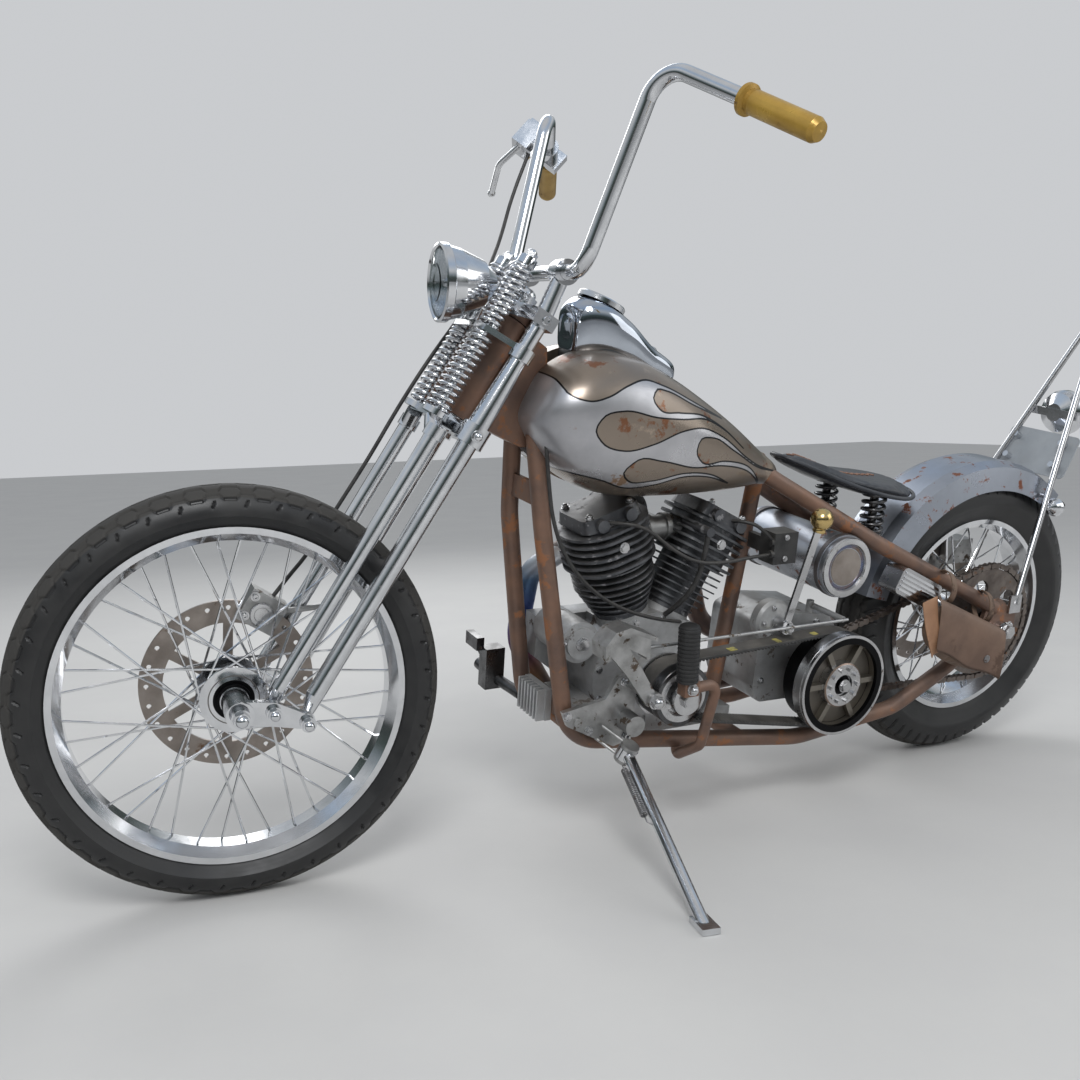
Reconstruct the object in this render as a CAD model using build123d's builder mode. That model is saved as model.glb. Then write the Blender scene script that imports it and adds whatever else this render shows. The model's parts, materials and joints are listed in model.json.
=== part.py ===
from build123d import *
import os
from math import atan2, cos, degrees, hypot, pi, radians, sin, sqrt, tan

# A long-forked motorcycle parked on its side stand. The machine is drawn upright, with x forward
# of the rear axle, y to the rider's left and z up from the road, in millimetres, and is leaned last.

# Stance
WHEELBASE = 1625.0
RAKE = 31.8
AXLE_LEAD = 78.0
LEAN = 9.5
STEER_REST = -8.6
STEER_STOP = 26.0

# Wheels
FRONT_TYRE_R = 345.0
FRONT_TYRE_W = 90.0
FRONT_RIM_R = 281.0
FRONT_RIM_W = 66.0
REAR_TYRE_R = 325.0
REAR_TYRE_W = 126.0
REAR_RIM_R = 221.0
REAR_RIM_W = 92.0
RIM_DEPTH = 24.0
SPOKE = 4.0
SPOKES = 40
AXLE_D = 19.0
HUB_GAP = 0.5
HUB_CORE_R = 27.0
DISC_SEAT_R = 28.0
FRONT_HUB_R = 54.0
FRONT_HUB_HALF = 34.0
REAR_HUB_R = 58.0
REAR_HUB_HALF = 40.0
DISC_T = 5.0
FRONT_DISC_R = 142.0
FRONT_DISC_Y = 60.0
REAR_DISC_R = 146.0
REAR_DISC_Y = 78.0

# Springer fork, in its own frame: n ahead of the steering axis, s up it from the axle's height
LEG_Y = 86.0
LEG_N = -17.0
LEG_D = 34.0
LEG_TOP_D = 27.0
LOWER_TREE_S = 560.0
TOP_TREE_S = 776.0
TREE_T = 24.0
STEM_D = 30.0
NECK_D = 56.0
SPRING_LEG_Y = 80.0
SPRING_LEG_N = 38.0
SPRING_LEG_D = 27.0
SPRING_Y = 56.0
SPRING_N = 46.0
SPRING_D = 42.0
ROD_D = 12.0
PERCH_S = 566.0
MID_PERCH_S = 712.0
PERCH_T = 10.0
UPPER_SPRING_TOP_S = 838.0
ROCKER_Y = 104.0
ROCKER_T = 14.0
AXLE_END_Y = 132.0
RISER_S = 860.0
BAR_D = 25.4
GRIP_D = 36.0
GRIP_L = 140.0
LAMP_R = 64.0
LAMP_N = 141.0
LAMP_S = 744.0
LAMP_DEPTH = 100.0
LENS_R = 56.5

# Frame
TUBE_D = 32.0
RAIL_Y = 112.0
RAIL_Z = 143.0
BRACKET_Y = 105.2
BRACKET_T = 10.0
PLATE_Y = 130.0
PLATE_T = 10.0
STAY_Y = 110.0

# Engine, gearbox and drive
CRANK_X = 853.0
CRANK_Z = 300.0
V_HALF = 22.5
ENGINE_TILT = 4.0
CASE_R = 122.0
CASE_HALF = 52.0
BARREL_R = 78.0
BARREL_CORE = 51.0
BARREL_BASE = 128.0
BARREL_TOP = 232.0
HEAD_TOP = 318.0
COVER_TOP = 342.0
PIPE_D = 42.0
FIN_T = 3.0
FINS = 8
CLUTCH_X = 472.0
CLUTCH_Z = 272.0
CLUTCH_R = 102.0
PULLEY_R = 58.0
BELT_T = 8.0
BELT_Y = 138.0
BELT_W = 62.0
SHIFT_CAP_Y = 105.0
SHIFT_X = 596.0
SHIFT_Z = 392.0
SHIFT_R = 43.0
CHAIN_Y = 88.0
CHAIN_T = 14.0
CHAIN_D = 13.0
GEAR_SPROCKET_R = 58.0
REAR_SPROCKET_R = 128.0

# Tinware
TANK_GAP = 24.0
FENDER_R = 352.0
FENDER_HALF = 75.0
SHEET = 2.5
OIL_R = 61.0
OIL_X = 463.0
OIL_HALF = 132.0

# Side stand: the leg's pivot, and where its foot meets the road
STAND_PIVOT = (961.0, 162.0, 205.0)
STAND_FOOT = (1036.0, 525.0, 88.0)
STAND_STOWED = (-0.948, 0.144, -0.283)
STAND_D = 22.0
STAND_PIN = 14.0
EYE_R = 18.0
EYE_HALF = 11.0
CHEEK_T = 7.0

SEAT_GAP = 0.3

# Flexible lines, by the points of their routes
LEAD_D = 7.0
HOSE_D = 10.0
COIL_ENDS = ((90.0, 553.0), (92.0, 529.0))
FRONT_LEAD = (
    (985, 48, 604), (950, 87, 612), (908, 99, 598), (864, 104, 562), (806, 109, 531), (738, 109, 527),
    (672, 101, 531), (620, 92, 529),
)
REAR_LEAD = ((704, 40, 588), (676, 82, 597), (644, 97, 577), (618, 91, 553))
CONTROL_CABLE = (
    (1121, 82, 757), (1117, 92, 690), (1104, 94, 620), (1072, 93, 553), (1016, 92, 492), (950, 92, 452),
    (880, 90, 427), (815, 72, 408), (776, 40, 392),
)
OIL_HOSE = ((778, 97, 586), (783, 98, 530), (797, 94, 478), (818, 68, 432), (832, 40, 405))
BRAKE_HOSE = (
    (38, -352, 1112), (28, -338, 1028), (14, -296, 938), (22, -228, 872), (34, -158, 810), (50, -110, 735),
    (61, -98, 645), (63, -100, 545), (61, -98, 445), (63, -100, 345), (65, -97, 252), (80, -76, 196),
    (89, -61, 152),
)


def unit(vector):
    """The vector at length one."""
    return Vector(*vector).normalized()


FORK_UP = Vector(-sin(radians(RAKE)), 0, cos(radians(RAKE)))
FORK_AHEAD = Vector(cos(radians(RAKE)), 0, sin(radians(RAKE)))
FORK_FOOT = Vector(WHEELBASE, 0, FRONT_TYRE_R) - FORK_AHEAD * AXLE_LEAD
FORK = Plane(origin=FORK_FOOT, x_dir=FORK_AHEAD, z_dir=FORK_UP)


def fork_point(n, y, s):
    """A point of the fork's frame, given in the machine's frame."""
    return FORK.from_local_coords(Vector(n, y, s))


def tyre_drop(radius, width, lean_sine):
    """How far a leaned tyre's lowest point lies below its centre."""
    crown = width / 2
    return (radius - crown) * sqrt(1 - lean_sine**2) + crown


def parked():
    """The placing of the leaned machine, with both tyres on the road."""
    leaned = Location((0, 0, 0), (-LEAN, 0, 0))
    turned = fork_point(AXLE_LEAD * cos(radians(STEER_REST)), AXLE_LEAD * sin(radians(STEER_REST)), 0)
    axle = Vector(0, 1, 0).rotate(Axis((0, 0, 0), FORK_UP), STEER_REST)
    lean_axis = Axis((0, 0, 0), (1, 0, 0))
    front_axle = axle.rotate(lean_axis, -LEAN)
    rear_axle = Vector(0, 1, 0).rotate(lean_axis, -LEAN)
    front_low = turned.rotate(lean_axis, -LEAN).Z - tyre_drop(FRONT_TYRE_R, FRONT_TYRE_W, front_axle.Z)
    rear_low = REAR_TYRE_R * cos(radians(LEAN)) - tyre_drop(REAR_TYRE_R, REAR_TYRE_W, rear_axle.Z)
    pitch = degrees((front_low - rear_low) / WHEELBASE)
    return Location((0, 0, -rear_low)) * Location((0, 0, 0), (0, pitch, 0)) * leaned


PARK = parked()
STEERED = FORK.location * Location((0, 0, 0), (0, 0, STEER_REST))
ROAD = Plane(PARK.inverse())


def bar(points, diameter, bends=None, mode=Mode.ADD):
    """A round bar along straight runs joined by tangent arcs, one radius for each inner point."""
    with BuildLine() as path:
        if bends is None:
            Polyline(*points)
        else:
            FilletPolyline(*points, radius=bends)
    with BuildSketch(Plane(origin=path.line @ 0, z_dir=path.line % 0)) as section:
        Circle(diameter / 2)
    sweep(section.sketch, path=path.line, mode=mode)


def taper(start, end, first, last, mode=Mode.ADD):
    """A round bar that tapers from one diameter to another."""
    along = Vector(*end) - Vector(*start)
    with BuildSketch(Plane(origin=start, z_dir=along)) as foot:
        Circle(first / 2)
    with BuildSketch(Plane(origin=end, z_dir=along)) as head:
        Circle(last / 2)
    loft([foot.sketch, head.sketch], mode=mode)


def mirrored(points, sign):
    """The points on the left side, or their mirror on the right."""
    return [(x, sign * y, z) for x, y, z in points]


def side_plane(y):
    """An upright plane along the machine, seen from the right: x ahead and z up; it extrudes to -y."""
    return Plane(origin=(0, y, 0), x_dir=(1, 0, 0), z_dir=(0, -1, 0))


def across(x, z, radius, y_from, y_to, mode=Mode.ADD):
    """A cylinder that lies across the machine between two values of y."""
    with Locations((x, (y_from + y_to) / 2, z)):
        Cylinder(radius, abs(y_to - y_from), rotation=(90, 0, 0), mode=mode)


def slab(outline, y_from, y_to, mode=Mode.ADD):
    """A side outline of (x, z) points made into a plate between two values of y."""
    top = max(y_from, y_to)
    with BuildSketch(side_plane(top)) as face:
        with BuildLine():
            Polyline(*outline, close=True)
        make_face()
    extrude(face.sketch, amount=abs(y_to - y_from), mode=mode)


def ring(profile, plane, mode=Mode.ADD):
    """A body turned about the z axis of a plane from (radius, height) points."""
    with BuildSketch(Plane(origin=plane.origin, x_dir=plane.x_dir, z_dir=-plane.y_dir)) as face:
        with BuildLine():
            Polyline(*profile, close=True)
        make_face()
    revolve(face.sketch, axis=Axis(plane.origin, plane.z_dir), mode=mode)


def wheel_plane(x, z, y=0.0):
    """The plane of a wheel: its z axis is the axle, towards the left."""
    return Plane(origin=(x, y, z), x_dir=(1, 0, 0), z_dir=(0, 1, 0))


def tyre(radius, width, rim_radius, rim_width, plane):
    """A tyre with a round crown, seated on its rim."""
    crown = width / 2
    centre = radius - crown
    bead = rim_radius - SEAT_GAP - 6
    with BuildSketch(Plane(origin=plane.origin, x_dir=plane.x_dir, z_dir=-plane.y_dir)) as face:
        with BuildLine():
            RadiusArc((centre, crown), (centre, -crown), crown)
            Polyline((centre, -crown), (rim_radius, -rim_width / 2 + 4), (bead, -rim_width / 2 + 4))
            Polyline((bead, -rim_width / 2 + 4), (bead, rim_width / 2 - 4))
            Polyline((bead, rim_width / 2 - 4), (rim_radius, rim_width / 2 - 4), (centre, crown))
        make_face()
    revolve(face.sketch, axis=Axis(plane.origin, plane.z_dir))


def spoked_wheel(plane, rim_radius, rim_width, hub_radius, hub_half, core_radius):
    """Rim, crossed spokes and flanged hub in one, bored for the axle."""
    half = rim_width / 2
    well = rim_radius - RIM_DEPTH
    seat = rim_radius - 6 - 2 * SEAT_GAP
    rim = (
        (rim_radius, half),
        (rim_radius, half - 3),
        (seat, half - 3),
        (well + 4, half / 2),
        (well + 4, -half / 2),
        (seat, 3 - half),
        (rim_radius, 3 - half),
        (rim_radius, -half),
        (seat - 4, -half),
        (well, -half / 2),
        (well, half / 2),
        (seat - 4, half),
    )
    ring(rim, plane)
    bore = AXLE_D / 2 + HUB_GAP
    flange = 6.0
    hub = (
        (bore, hub_half + 8),
        (core_radius, hub_half + 8),
        (core_radius, hub_half),
        (hub_radius, hub_half),
        (hub_radius, hub_half - flange),
        (core_radius, hub_half - flange),
        (core_radius, flange - hub_half),
        (hub_radius, flange - hub_half),
        (hub_radius, -hub_half),
        (core_radius, -hub_half),
        (core_radius, -hub_half - 8),
        (bore, -hub_half - 8),
    )
    ring(hub, plane)
    step = 360.0 / SPOKES
    crossing = 9.0 * step
    for index in range(SPOKES):
        side = 1 if index % 2 == 0 else -1
        lean_way = 1 if index % 4 < 2 else -1
        start = radians(index * step + lean_way * crossing)
        end = radians(index * step)
        foot_r = hub_radius - 4
        foot_z = side * (hub_half - flange / 2)
        head_z = side * half / 5
        foot = plane.from_local_coords(Vector(foot_r * cos(start), foot_r * sin(start), foot_z))
        head_r = well + 2
        head = plane.from_local_coords(Vector(head_r * cos(end), head_r * sin(end), head_z))
        with BuildSketch(Plane(origin=foot, z_dir=head - foot)) as wire:
            RegularPolygon(SPOKE / 2, 6)
        extrude(wire.sketch, amount=(head - foot).length)


def coil_stack(plane, length, turns, outer, inner):
    """A coil spring as a stack of ridges about a core, along the plane's z axis."""
    pitch = length / turns
    ridges = [(inner, 0)]
    for turn in range(turns):
        ridges.append((outer - 4, turn * pitch))
        ridges.append((outer, (turn + 0.5) * pitch))
    ridges.append((outer - 4, length))
    ridges.append((inner, length))
    ring(ridges, plane)


FRONT_WHEEL = Plane(origin=(AXLE_LEAD, 0, 0), x_dir=(1, 0, 0), z_dir=(0, 1, 0))
REAR_WHEEL = wheel_plane(0, REAR_TYRE_R)

# Pieces by the body that carries them
FRAME_PIECES = []
FORK_PIECES = []
FRONT_WHEEL_PIECES = []
REAR_WHEEL_PIECES = []
STAND_PIECES = []

# Front wheel, in the fork's frame

with BuildPart() as front_tyre:
    tyre(FRONT_TYRE_R, FRONT_TYRE_W, FRONT_RIM_R, FRONT_RIM_W, FRONT_WHEEL)
FRONT_WHEEL_PIECES.append((front_tyre, "front_tyre"))

with BuildPart() as front_wheel:
    spoked_wheel(FRONT_WHEEL, FRONT_RIM_R, FRONT_RIM_W, FRONT_HUB_R, FRONT_HUB_HALF, HUB_CORE_R)
FRONT_WHEEL_PIECES.append((front_wheel, "front_wheel"))


def brake_disc(plane, radius, core, y, carrier_to):
    """A drilled brake disc on a spoked carrier that reaches in to the hub's flange."""
    near = min(abs(y) - DISC_T / 2, carrier_to)
    side = 1 if y > 0 else -1
    outer_face = side * (abs(y) + DISC_T / 2)
    inner_face = side * (abs(y) - DISC_T / 2)
    flange = side * (near + SEAT_GAP)
    bottom = min(outer_face, inner_face)
    face = Plane(plane.from_local_coords(Vector(0, 0, bottom)), x_dir=plane.x_dir, z_dir=plane.z_dir)
    with BuildSketch(face) as blade:
        Circle(radius)
        Circle(core, mode=Mode.SUBTRACT)
        with PolarLocations((radius + core) / 2 + 6.5, 24):
            Circle(4.0, mode=Mode.SUBTRACT)
    extrude(blade.sketch, amount=DISC_T)
    with BuildSketch(face) as carrier:
        Circle(DISC_SEAT_R + 12)
        with PolarLocations(0, 6):
            with Locations((core / 2, 0)):
                Rectangle(core + 4, 16)
        Circle(DISC_SEAT_R, mode=Mode.SUBTRACT)
    extrude(carrier.sketch, amount=DISC_T)
    low = min(inner_face, flange)
    collar = Plane(plane.from_local_coords(Vector(0, 0, low)), x_dir=plane.x_dir, z_dir=plane.z_dir)
    with BuildSketch(collar) as neck:
        Circle(DISC_SEAT_R + 12)
        Circle(DISC_SEAT_R, mode=Mode.SUBTRACT)
    extrude(neck.sketch, amount=abs(inner_face - flange))


with BuildPart() as front_disc:
    brake_disc(FRONT_WHEEL, FRONT_DISC_R, FRONT_DISC_R - 38, -FRONT_DISC_Y, FRONT_HUB_HALF)
FRONT_WHEEL_PIECES.append((front_disc, "front_disc"))

# Rear wheel

with BuildPart() as rear_tyre:
    tyre(REAR_TYRE_R, REAR_TYRE_W, REAR_RIM_R, REAR_RIM_W, REAR_WHEEL)
REAR_WHEEL_PIECES.append((rear_tyre, "rear_tyre"))

with BuildPart() as rear_wheel:
    spoked_wheel(REAR_WHEEL, REAR_RIM_R, REAR_RIM_W, REAR_HUB_R, REAR_HUB_HALF, HUB_CORE_R)
REAR_WHEEL_PIECES.append((rear_wheel, "rear_wheel"))

with BuildPart() as rear_disc:
    brake_disc(REAR_WHEEL, REAR_DISC_R, REAR_DISC_R - 40, -REAR_DISC_Y, REAR_HUB_HALF)
REAR_WHEEL_PIECES.append((rear_disc, "rear_disc"))

SPROCKET_T = 8.0
with BuildPart() as rear_sprocket:
    outer_face = Plane((0, CHAIN_Y + SPROCKET_T / 2, REAR_TYRE_R), x_dir=(1, 0, 0), z_dir=(0, -1, 0))
    with BuildSketch(outer_face) as blade:
        Circle(REAR_SPROCKET_R - 7)
        Circle(DISC_SEAT_R, mode=Mode.SUBTRACT)
        with PolarLocations(78, 5):
            Circle(23, mode=Mode.SUBTRACT)
    extrude(blade.sketch, amount=SPROCKET_T)
    with BuildSketch(Plane(origin=(0, CHAIN_Y, REAR_TYRE_R), x_dir=(1, 0, 0), z_dir=(0, -1, 0))) as neck:
        Circle(DISC_SEAT_R + 14)
        Circle(DISC_SEAT_R, mode=Mode.SUBTRACT)
    extrude(neck.sketch, amount=CHAIN_Y - REAR_HUB_HALF - SEAT_GAP)
REAR_WHEEL_PIECES.append((rear_sprocket, "rear_sprocket"))

# Rigid rear legs of the fork, with both trees, the stem and the risers

with BuildPart() as rigid_fork:
    for side in (1, -1):
        leg = side * LEG_Y
        taper((LEG_N, leg, 75), (LEG_N, leg, LOWER_TREE_S), LEG_D - 4, LEG_D)
        taper((LEG_N, leg, LOWER_TREE_S), (LEG_N, leg, MID_PERCH_S), LEG_D + 6, LEG_TOP_D)
        taper((LEG_N, leg, MID_PERCH_S), (LEG_N, leg, TOP_TREE_S), LEG_TOP_D, LEG_TOP_D)
        with Locations((LEG_N, leg, LOWER_TREE_S)):
            Cylinder(LEG_D / 2 + 8, 34)
        # forged eye that carries the rocker's rear pivot
        with Locations((LEG_N - 6, leg, 35)):
            Cylinder(14, 2 * (ROCKER_Y - LEG_Y - ROCKER_T / 2 - SEAT_GAP), rotation=(90, 0, 0))
        taper((LEG_N - 6, leg, 35), (LEG_N, leg, 76), 14, LEG_D - 4)
        # riser up to the handlebar
        taper((LEG_N, leg, TOP_TREE_S), (-6, leg, RISER_S), 30, 27)
        with Locations((-6, leg, RISER_S)):
            Cylinder(21, 34, rotation=(90, 0, 0))
        # ear that ties the spring bracket to the leg
        with Locations((LEG_N, leg, MID_PERCH_S)):
            Cylinder(LEG_TOP_D / 2 + 6, 22)
    for height, half in ((LOWER_TREE_S, LEG_Y), (TOP_TREE_S, LEG_Y + 22)):
        with BuildSketch(Plane.XY.offset(height - TREE_T / 2)) as tree:
            with BuildLine():
                Polyline((-36, half), (4, half), (22, 34), (22, -34), (4, -half), (-36, -half), close=True)
            make_face()
            fillet(tree.vertices().group_by(Axis.X)[-1], radius=14)
        extrude(tree.sketch, amount=TREE_T)
    with Locations((0, 0, (LOWER_TREE_S + TOP_TREE_S) / 2)):
        Cylinder(STEM_D / 2, TOP_TREE_S - LOWER_TREE_S)
    with Locations((0, 0, TOP_TREE_S + TREE_T / 2 + 5)):
        Cylinder(19, 14)
    # plate between the springs, carried by both ears
    with BuildSketch(Plane.XY.offset(MID_PERCH_S)) as bracket:
        with BuildLine():
            Polyline(
                (LEG_N - 6, LEG_Y + 8), (LEG_N + 10, LEG_Y + 8), (SPRING_N + 10, SPRING_Y + 20),
                (SPRING_N + 22, SPRING_Y), (SPRING_N + 22, -SPRING_Y), (SPRING_N + 10, -SPRING_Y - 20),
                (LEG_N + 10, -LEG_Y - 8), (LEG_N - 6, -LEG_Y - 8), (SPRING_N - 12, -30), (SPRING_N - 12, 30),
                close=True,
            )
        make_face()
    extrude(bracket.sketch, amount=PERCH_T)
    with Locations((-6, 0, RISER_S)):
        Cylinder(BAR_D / 2 + SEAT_GAP, 3 * LEG_Y, rotation=(90, 0, 0), mode=Mode.SUBTRACT)
    # the springs' rods pass the bracket with a running gap
    with Locations(*[(SPRING_N, side * SPRING_Y, MID_PERCH_S + PERCH_T / 2) for side in (1, -1)]):
        Cylinder(ROD_D / 2 + SEAT_GAP, 3 * PERCH_T, mode=Mode.SUBTRACT)
FORK_PIECES.append((rigid_fork, "rigid_fork"))

# Front legs with the yoke that carries the lower springs

with BuildPart() as spring_fork:
    for side in (1, -1):
        leg = side * SPRING_LEG_Y
        taper((SPRING_LEG_N, leg, 56), (SPRING_LEG_N, leg, PERCH_S - 30), SPRING_LEG_D - 2, SPRING_LEG_D)
        taper((SPRING_LEG_N - 5, leg, 28), (SPRING_LEG_N, leg, 58), 16, SPRING_LEG_D - 2)
        with Locations((SPRING_LEG_N - 5, side * (ROCKER_Y - ROCKER_T / 2 - SEAT_GAP - 12), 26)):
            Cylinder(13, 24, rotation=(90, 0, 0))
        taper((SPRING_LEG_N, leg, PERCH_S - 40), (SPRING_N, side * SPRING_Y, PERCH_S - 13), 28, 28)
        with Locations((SPRING_LEG_N, leg, PERCH_S - 34)):
            Cylinder(17, 20)
        with Locations((SPRING_N, side * SPRING_Y, PERCH_S - PERCH_T / 2)):
            Cylinder(SPRING_D / 2 + 2, PERCH_T)
        # rod through the springs
        with Locations((SPRING_N, side * SPRING_Y, (PERCH_S + UPPER_SPRING_TOP_S) / 2 + 8)):
            Cylinder(ROD_D / 2, UPPER_SPRING_TOP_S - PERCH_S + 24)
        with Locations((SPRING_N, side * SPRING_Y, UPPER_SPRING_TOP_S + 7 + SEAT_GAP)):
            Cylinder(16, 14)
    with Locations((SPRING_N, 0, PERCH_S - 7)):
        Box(20, 2 * SPRING_Y, 14)
FORK_PIECES.append((spring_fork, "spring_fork"))

with BuildPart() as fork_springs:
    for side in (1, -1):
        lower = Plane(origin=(SPRING_N, side * SPRING_Y, PERCH_S + SEAT_GAP))
        coil_stack(lower, MID_PERCH_S - PERCH_S - 2 * SEAT_GAP, 10, SPRING_D / 2, 11)
        upper = Plane(origin=(SPRING_N, side * SPRING_Y, MID_PERCH_S + PERCH_T + SEAT_GAP))
        coil_stack(upper, UPPER_SPRING_TOP_S - MID_PERCH_S - PERCH_T - 2 * SEAT_GAP, 8, SPRING_D / 2 - 1, 11)
FORK_PIECES.append((fork_springs, "fork_springs"))

# Rockers on both sides, clamped on the front axle

with BuildPart() as rockers:
    for side in (1, -1):
        with BuildSketch(side_plane(side * ROCKER_Y + ROCKER_T / 2)) as blade:
            with BuildLine():
                Polyline(
                    (LEG_N - 20, 30), (LEG_N - 8, 48), (SPRING_LEG_N, 42), (AXLE_LEAD + 14, 16),
                    (AXLE_LEAD + 20, -6), (AXLE_LEAD + 4, -22), (SPRING_LEG_N - 14, 6), close=True,
                )
            make_face()
            fillet(blade.vertices(), radius=5)
        extrude(blade.sketch, amount=ROCKER_T)
        for pivot_n, pivot_s, radius in ((LEG_N - 6, 35, 12), (SPRING_LEG_N - 5, 26, 12)):
            across(pivot_n, pivot_s, radius, side * ROCKER_Y, side * (ROCKER_Y + ROCKER_T / 2 + 8))
        across(AXLE_LEAD, 0, 22, side * (FRONT_HUB_HALF + 8 + HUB_GAP), side * (ROCKER_Y + ROCKER_T))
        across(AXLE_LEAD, 0, 13, side * ROCKER_Y, side * AXLE_END_Y)
    across(AXLE_LEAD, 0, AXLE_D / 2, -ROCKER_Y, ROCKER_Y)
FORK_PIECES.append((rockers, "rockers"))

# Handlebar: left-side points in the fork's frame, n, y, s
BAR_POINTS = (
    (-6, 0, RISER_S),
    (-6, 165, RISER_S),
    (78, 228, 1163),
    (-8, 378, 1136),
    (-75, 496, 1113),
)
GRIP_WAY = unit(Vector(*BAR_POINTS[4]) - Vector(*BAR_POINTS[3]))

with BuildPart() as handlebar:
    left = list(BAR_POINTS[1:4]) + [tuple(Vector(*BAR_POINTS[3]) + GRIP_WAY * (GRIP_L - 10))]
    right = mirrored(left, -1)[::-1]
    bar(right[:3] + [right[3], left[0], left[1], left[2], left[3]], BAR_D, [300, 50, 45, 45, 50, 300])
FORK_PIECES.append((handlebar, "handlebar"))

with BuildPart() as grips:
    for side in (1, -1):
        grip_from = Vector(BAR_POINTS[3][0], side * BAR_POINTS[3][1], BAR_POINTS[3][2])
        way = Vector(GRIP_WAY.X, side * GRIP_WAY.Y, GRIP_WAY.Z)
        hold = Plane(origin=grip_from, z_dir=way)
        inner = BAR_D / 2 + SEAT_GAP
        outer = GRIP_D / 2
        profile = (
            (inner, 0), (outer + 5, 0), (outer + 5, 6), (outer - 1, 9), (outer - 1, 14), (outer, 18),
            (outer, GRIP_L - 10), (outer - 4, GRIP_L - 2), (0, GRIP_L), (0, GRIP_L - 8), (inner, GRIP_L - 8),
        )
        ring(profile, hold)
FORK_PIECES.append((grips, "grips"))

# Right-hand brake lever and its fluid chamber, clamped just inside the grip
LEVER_RUN = unit(Vector(*BAR_POINTS[3]) - Vector(*BAR_POINTS[2]))
LEVER_WAY = Vector(LEVER_RUN.X, -LEVER_RUN.Y, LEVER_RUN.Z)
LEVER_CLAMP = Vector(BAR_POINTS[3][0], -BAR_POINTS[3][1], BAR_POINTS[3][2]) - LEVER_WAY * 34

BLADE = ((60, -352, 1118), (66, -400, 1074), (31, -478, 1040))
with BuildPart() as brake_lever:
    with Locations(Plane(origin=LEVER_CLAMP, x_dir=(1, 0, 0.2), z_dir=LEVER_WAY)):
        Cylinder(BAR_D / 2 + 7, 26)
        # fluid chamber with its lid
        with Locations((42, -13, -8)):
            Box(36, 52, 50)
        with Locations((42, 16, -10)):
            Box(30, 8, 42)
        with Locations((22, 0, 0)):
            Box(20, 26, 24)
        # throttle housing against the grip
        with Locations((-6, 0, 21.5)):
            Box(50, 40, 19)
        Cylinder(BAR_D / 2 + SEAT_GAP, 90, mode=Mode.SUBTRACT)
    bar(BLADE, 12, [40])
    with Locations(BLADE[2]):
        Sphere(8)
FORK_PIECES.append((brake_lever, "brake_lever"))

# Headlamp on a stem from the spring bracket

LAMP_BACK = Vector(-FORK_AHEAD.X, 0, FORK_AHEAD.Z)
LAMP = Plane(origin=(LAMP_N, 0, LAMP_S), x_dir=(0, 1, 0), z_dir=LAMP_BACK)

with BuildPart() as headlamp:
    shell = (
        (0, LAMP_DEPTH), (18, LAMP_DEPTH - 2), (38, LAMP_DEPTH - 22), (LAMP_R - 8, 36), (LAMP_R - 3, 16),
        (LAMP_R, 14), (LAMP_R, 2), (LAMP_R - 4, 0), (LAMP_R - 7, 4), (LAMP_R - 9, 16), (LAMP_R - 14, 36),
        (32, LAMP_DEPTH - 26), (0, LAMP_DEPTH - 8),
    )
    ring(shell, LAMP)
    taper((SPRING_N + 14, 0, MID_PERCH_S + PERCH_T + SEAT_GAP), (SPRING_N + 14, 0, MID_PERCH_S + 38), 24, 20)
FORK_PIECES.append((headlamp, "headlamp"))

with BuildPart() as headlamp_lens:
    glass = ((0, -6), (30, -4), (LENS_R - 1, 2), (LENS_R, 5), (30, 1), (0, -1))
    ring(glass, LAMP)
FORK_PIECES.append((headlamp_lens, "headlamp_lens"))

CALIPER_S = FRONT_DISC_R - 14
CALIPER_N = AXLE_LEAD + 16
with BuildPart() as front_caliper:
    with Locations((CALIPER_N, -FRONT_DISC_Y, CALIPER_S + 6)):
        Box(66, 44, 58)
    with Locations(*[(CALIPER_N + shift, -FRONT_DISC_Y - 24, CALIPER_S + 4) for shift in (-15, 15)]):
        Cylinder(14, 8, rotation=(90, 0, 0))
    bar([(CALIPER_N - 24, -50, CALIPER_S + 16), (LEG_N, -LEG_Y + 8, CALIPER_S + 70)], 10)
    room = DISC_T / 2 + 2
    across(AXLE_LEAD, 0, FRONT_DISC_R + 3, -FRONT_DISC_Y - room, -FRONT_DISC_Y + room, mode=Mode.SUBTRACT)
    add(rigid_fork.part, mode=Mode.SUBTRACT)
FORK_PIECES.append((front_caliper, "front_caliper"))

# Frame: neck with its gusset, backbone, wishbone downtubes, rails, stays and axle plates

NECK_LOW = LOWER_TREE_S + 18
NECK_HIGH = TOP_TREE_S - TREE_T / 2 - 1
DOWNTUBE = (
    (1122, 40, 768),
    (1108, 64, 605),
    (1068, 78, 360),
    (1042, 84, 208),
    (520, RAIL_Y, RAIL_Z),
    (268, RAIL_Y + 6, RAIL_Z + 30),
    (148, 126, 242),
    (30, PLATE_Y, REAR_TYRE_R - 4),
)
DOWNTUBE_BENDS = [300, 300, 86, 200, 120, 200]
UPPER_STAY = ((770, 18, 764), (611, 70, 668), (360, STAY_Y, 533), (20, PLATE_Y, 372))
SEAT_TUBE = ((600, 0, 700), (664, 0, 164))
AXLE_PLATE = ((-46, 318), (-46, 352), (6, 392), (44, 386), (62, 318), (40, 296), (-30, 296))
FRONT_CROSS_X = 1002.0
FRONT_CROSS_Z = 206.0
FRONT_CROSS_D = 28.0
REAR_CROSS_X = 664.0
REAR_CROSS_Z = 164.0
REAR_CROSS_D = 30.0
GEAR_CROSS_X = 392.0
GEAR_CROSS_Z = 160.0
GEAR_CROSS_D = 28.0
SEAT_CROSS_X = 352.0
SEAT_CROSS_Z = 530.0
SEAT_CROSS_D = 26.0
REGULATOR_X = 1051.0
REGULATOR_Z = 262.0
REGULATOR_PLATE = 6.0
REGULATOR_PLATE_W = 168.0
REGULATOR_W = 84.0


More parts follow.
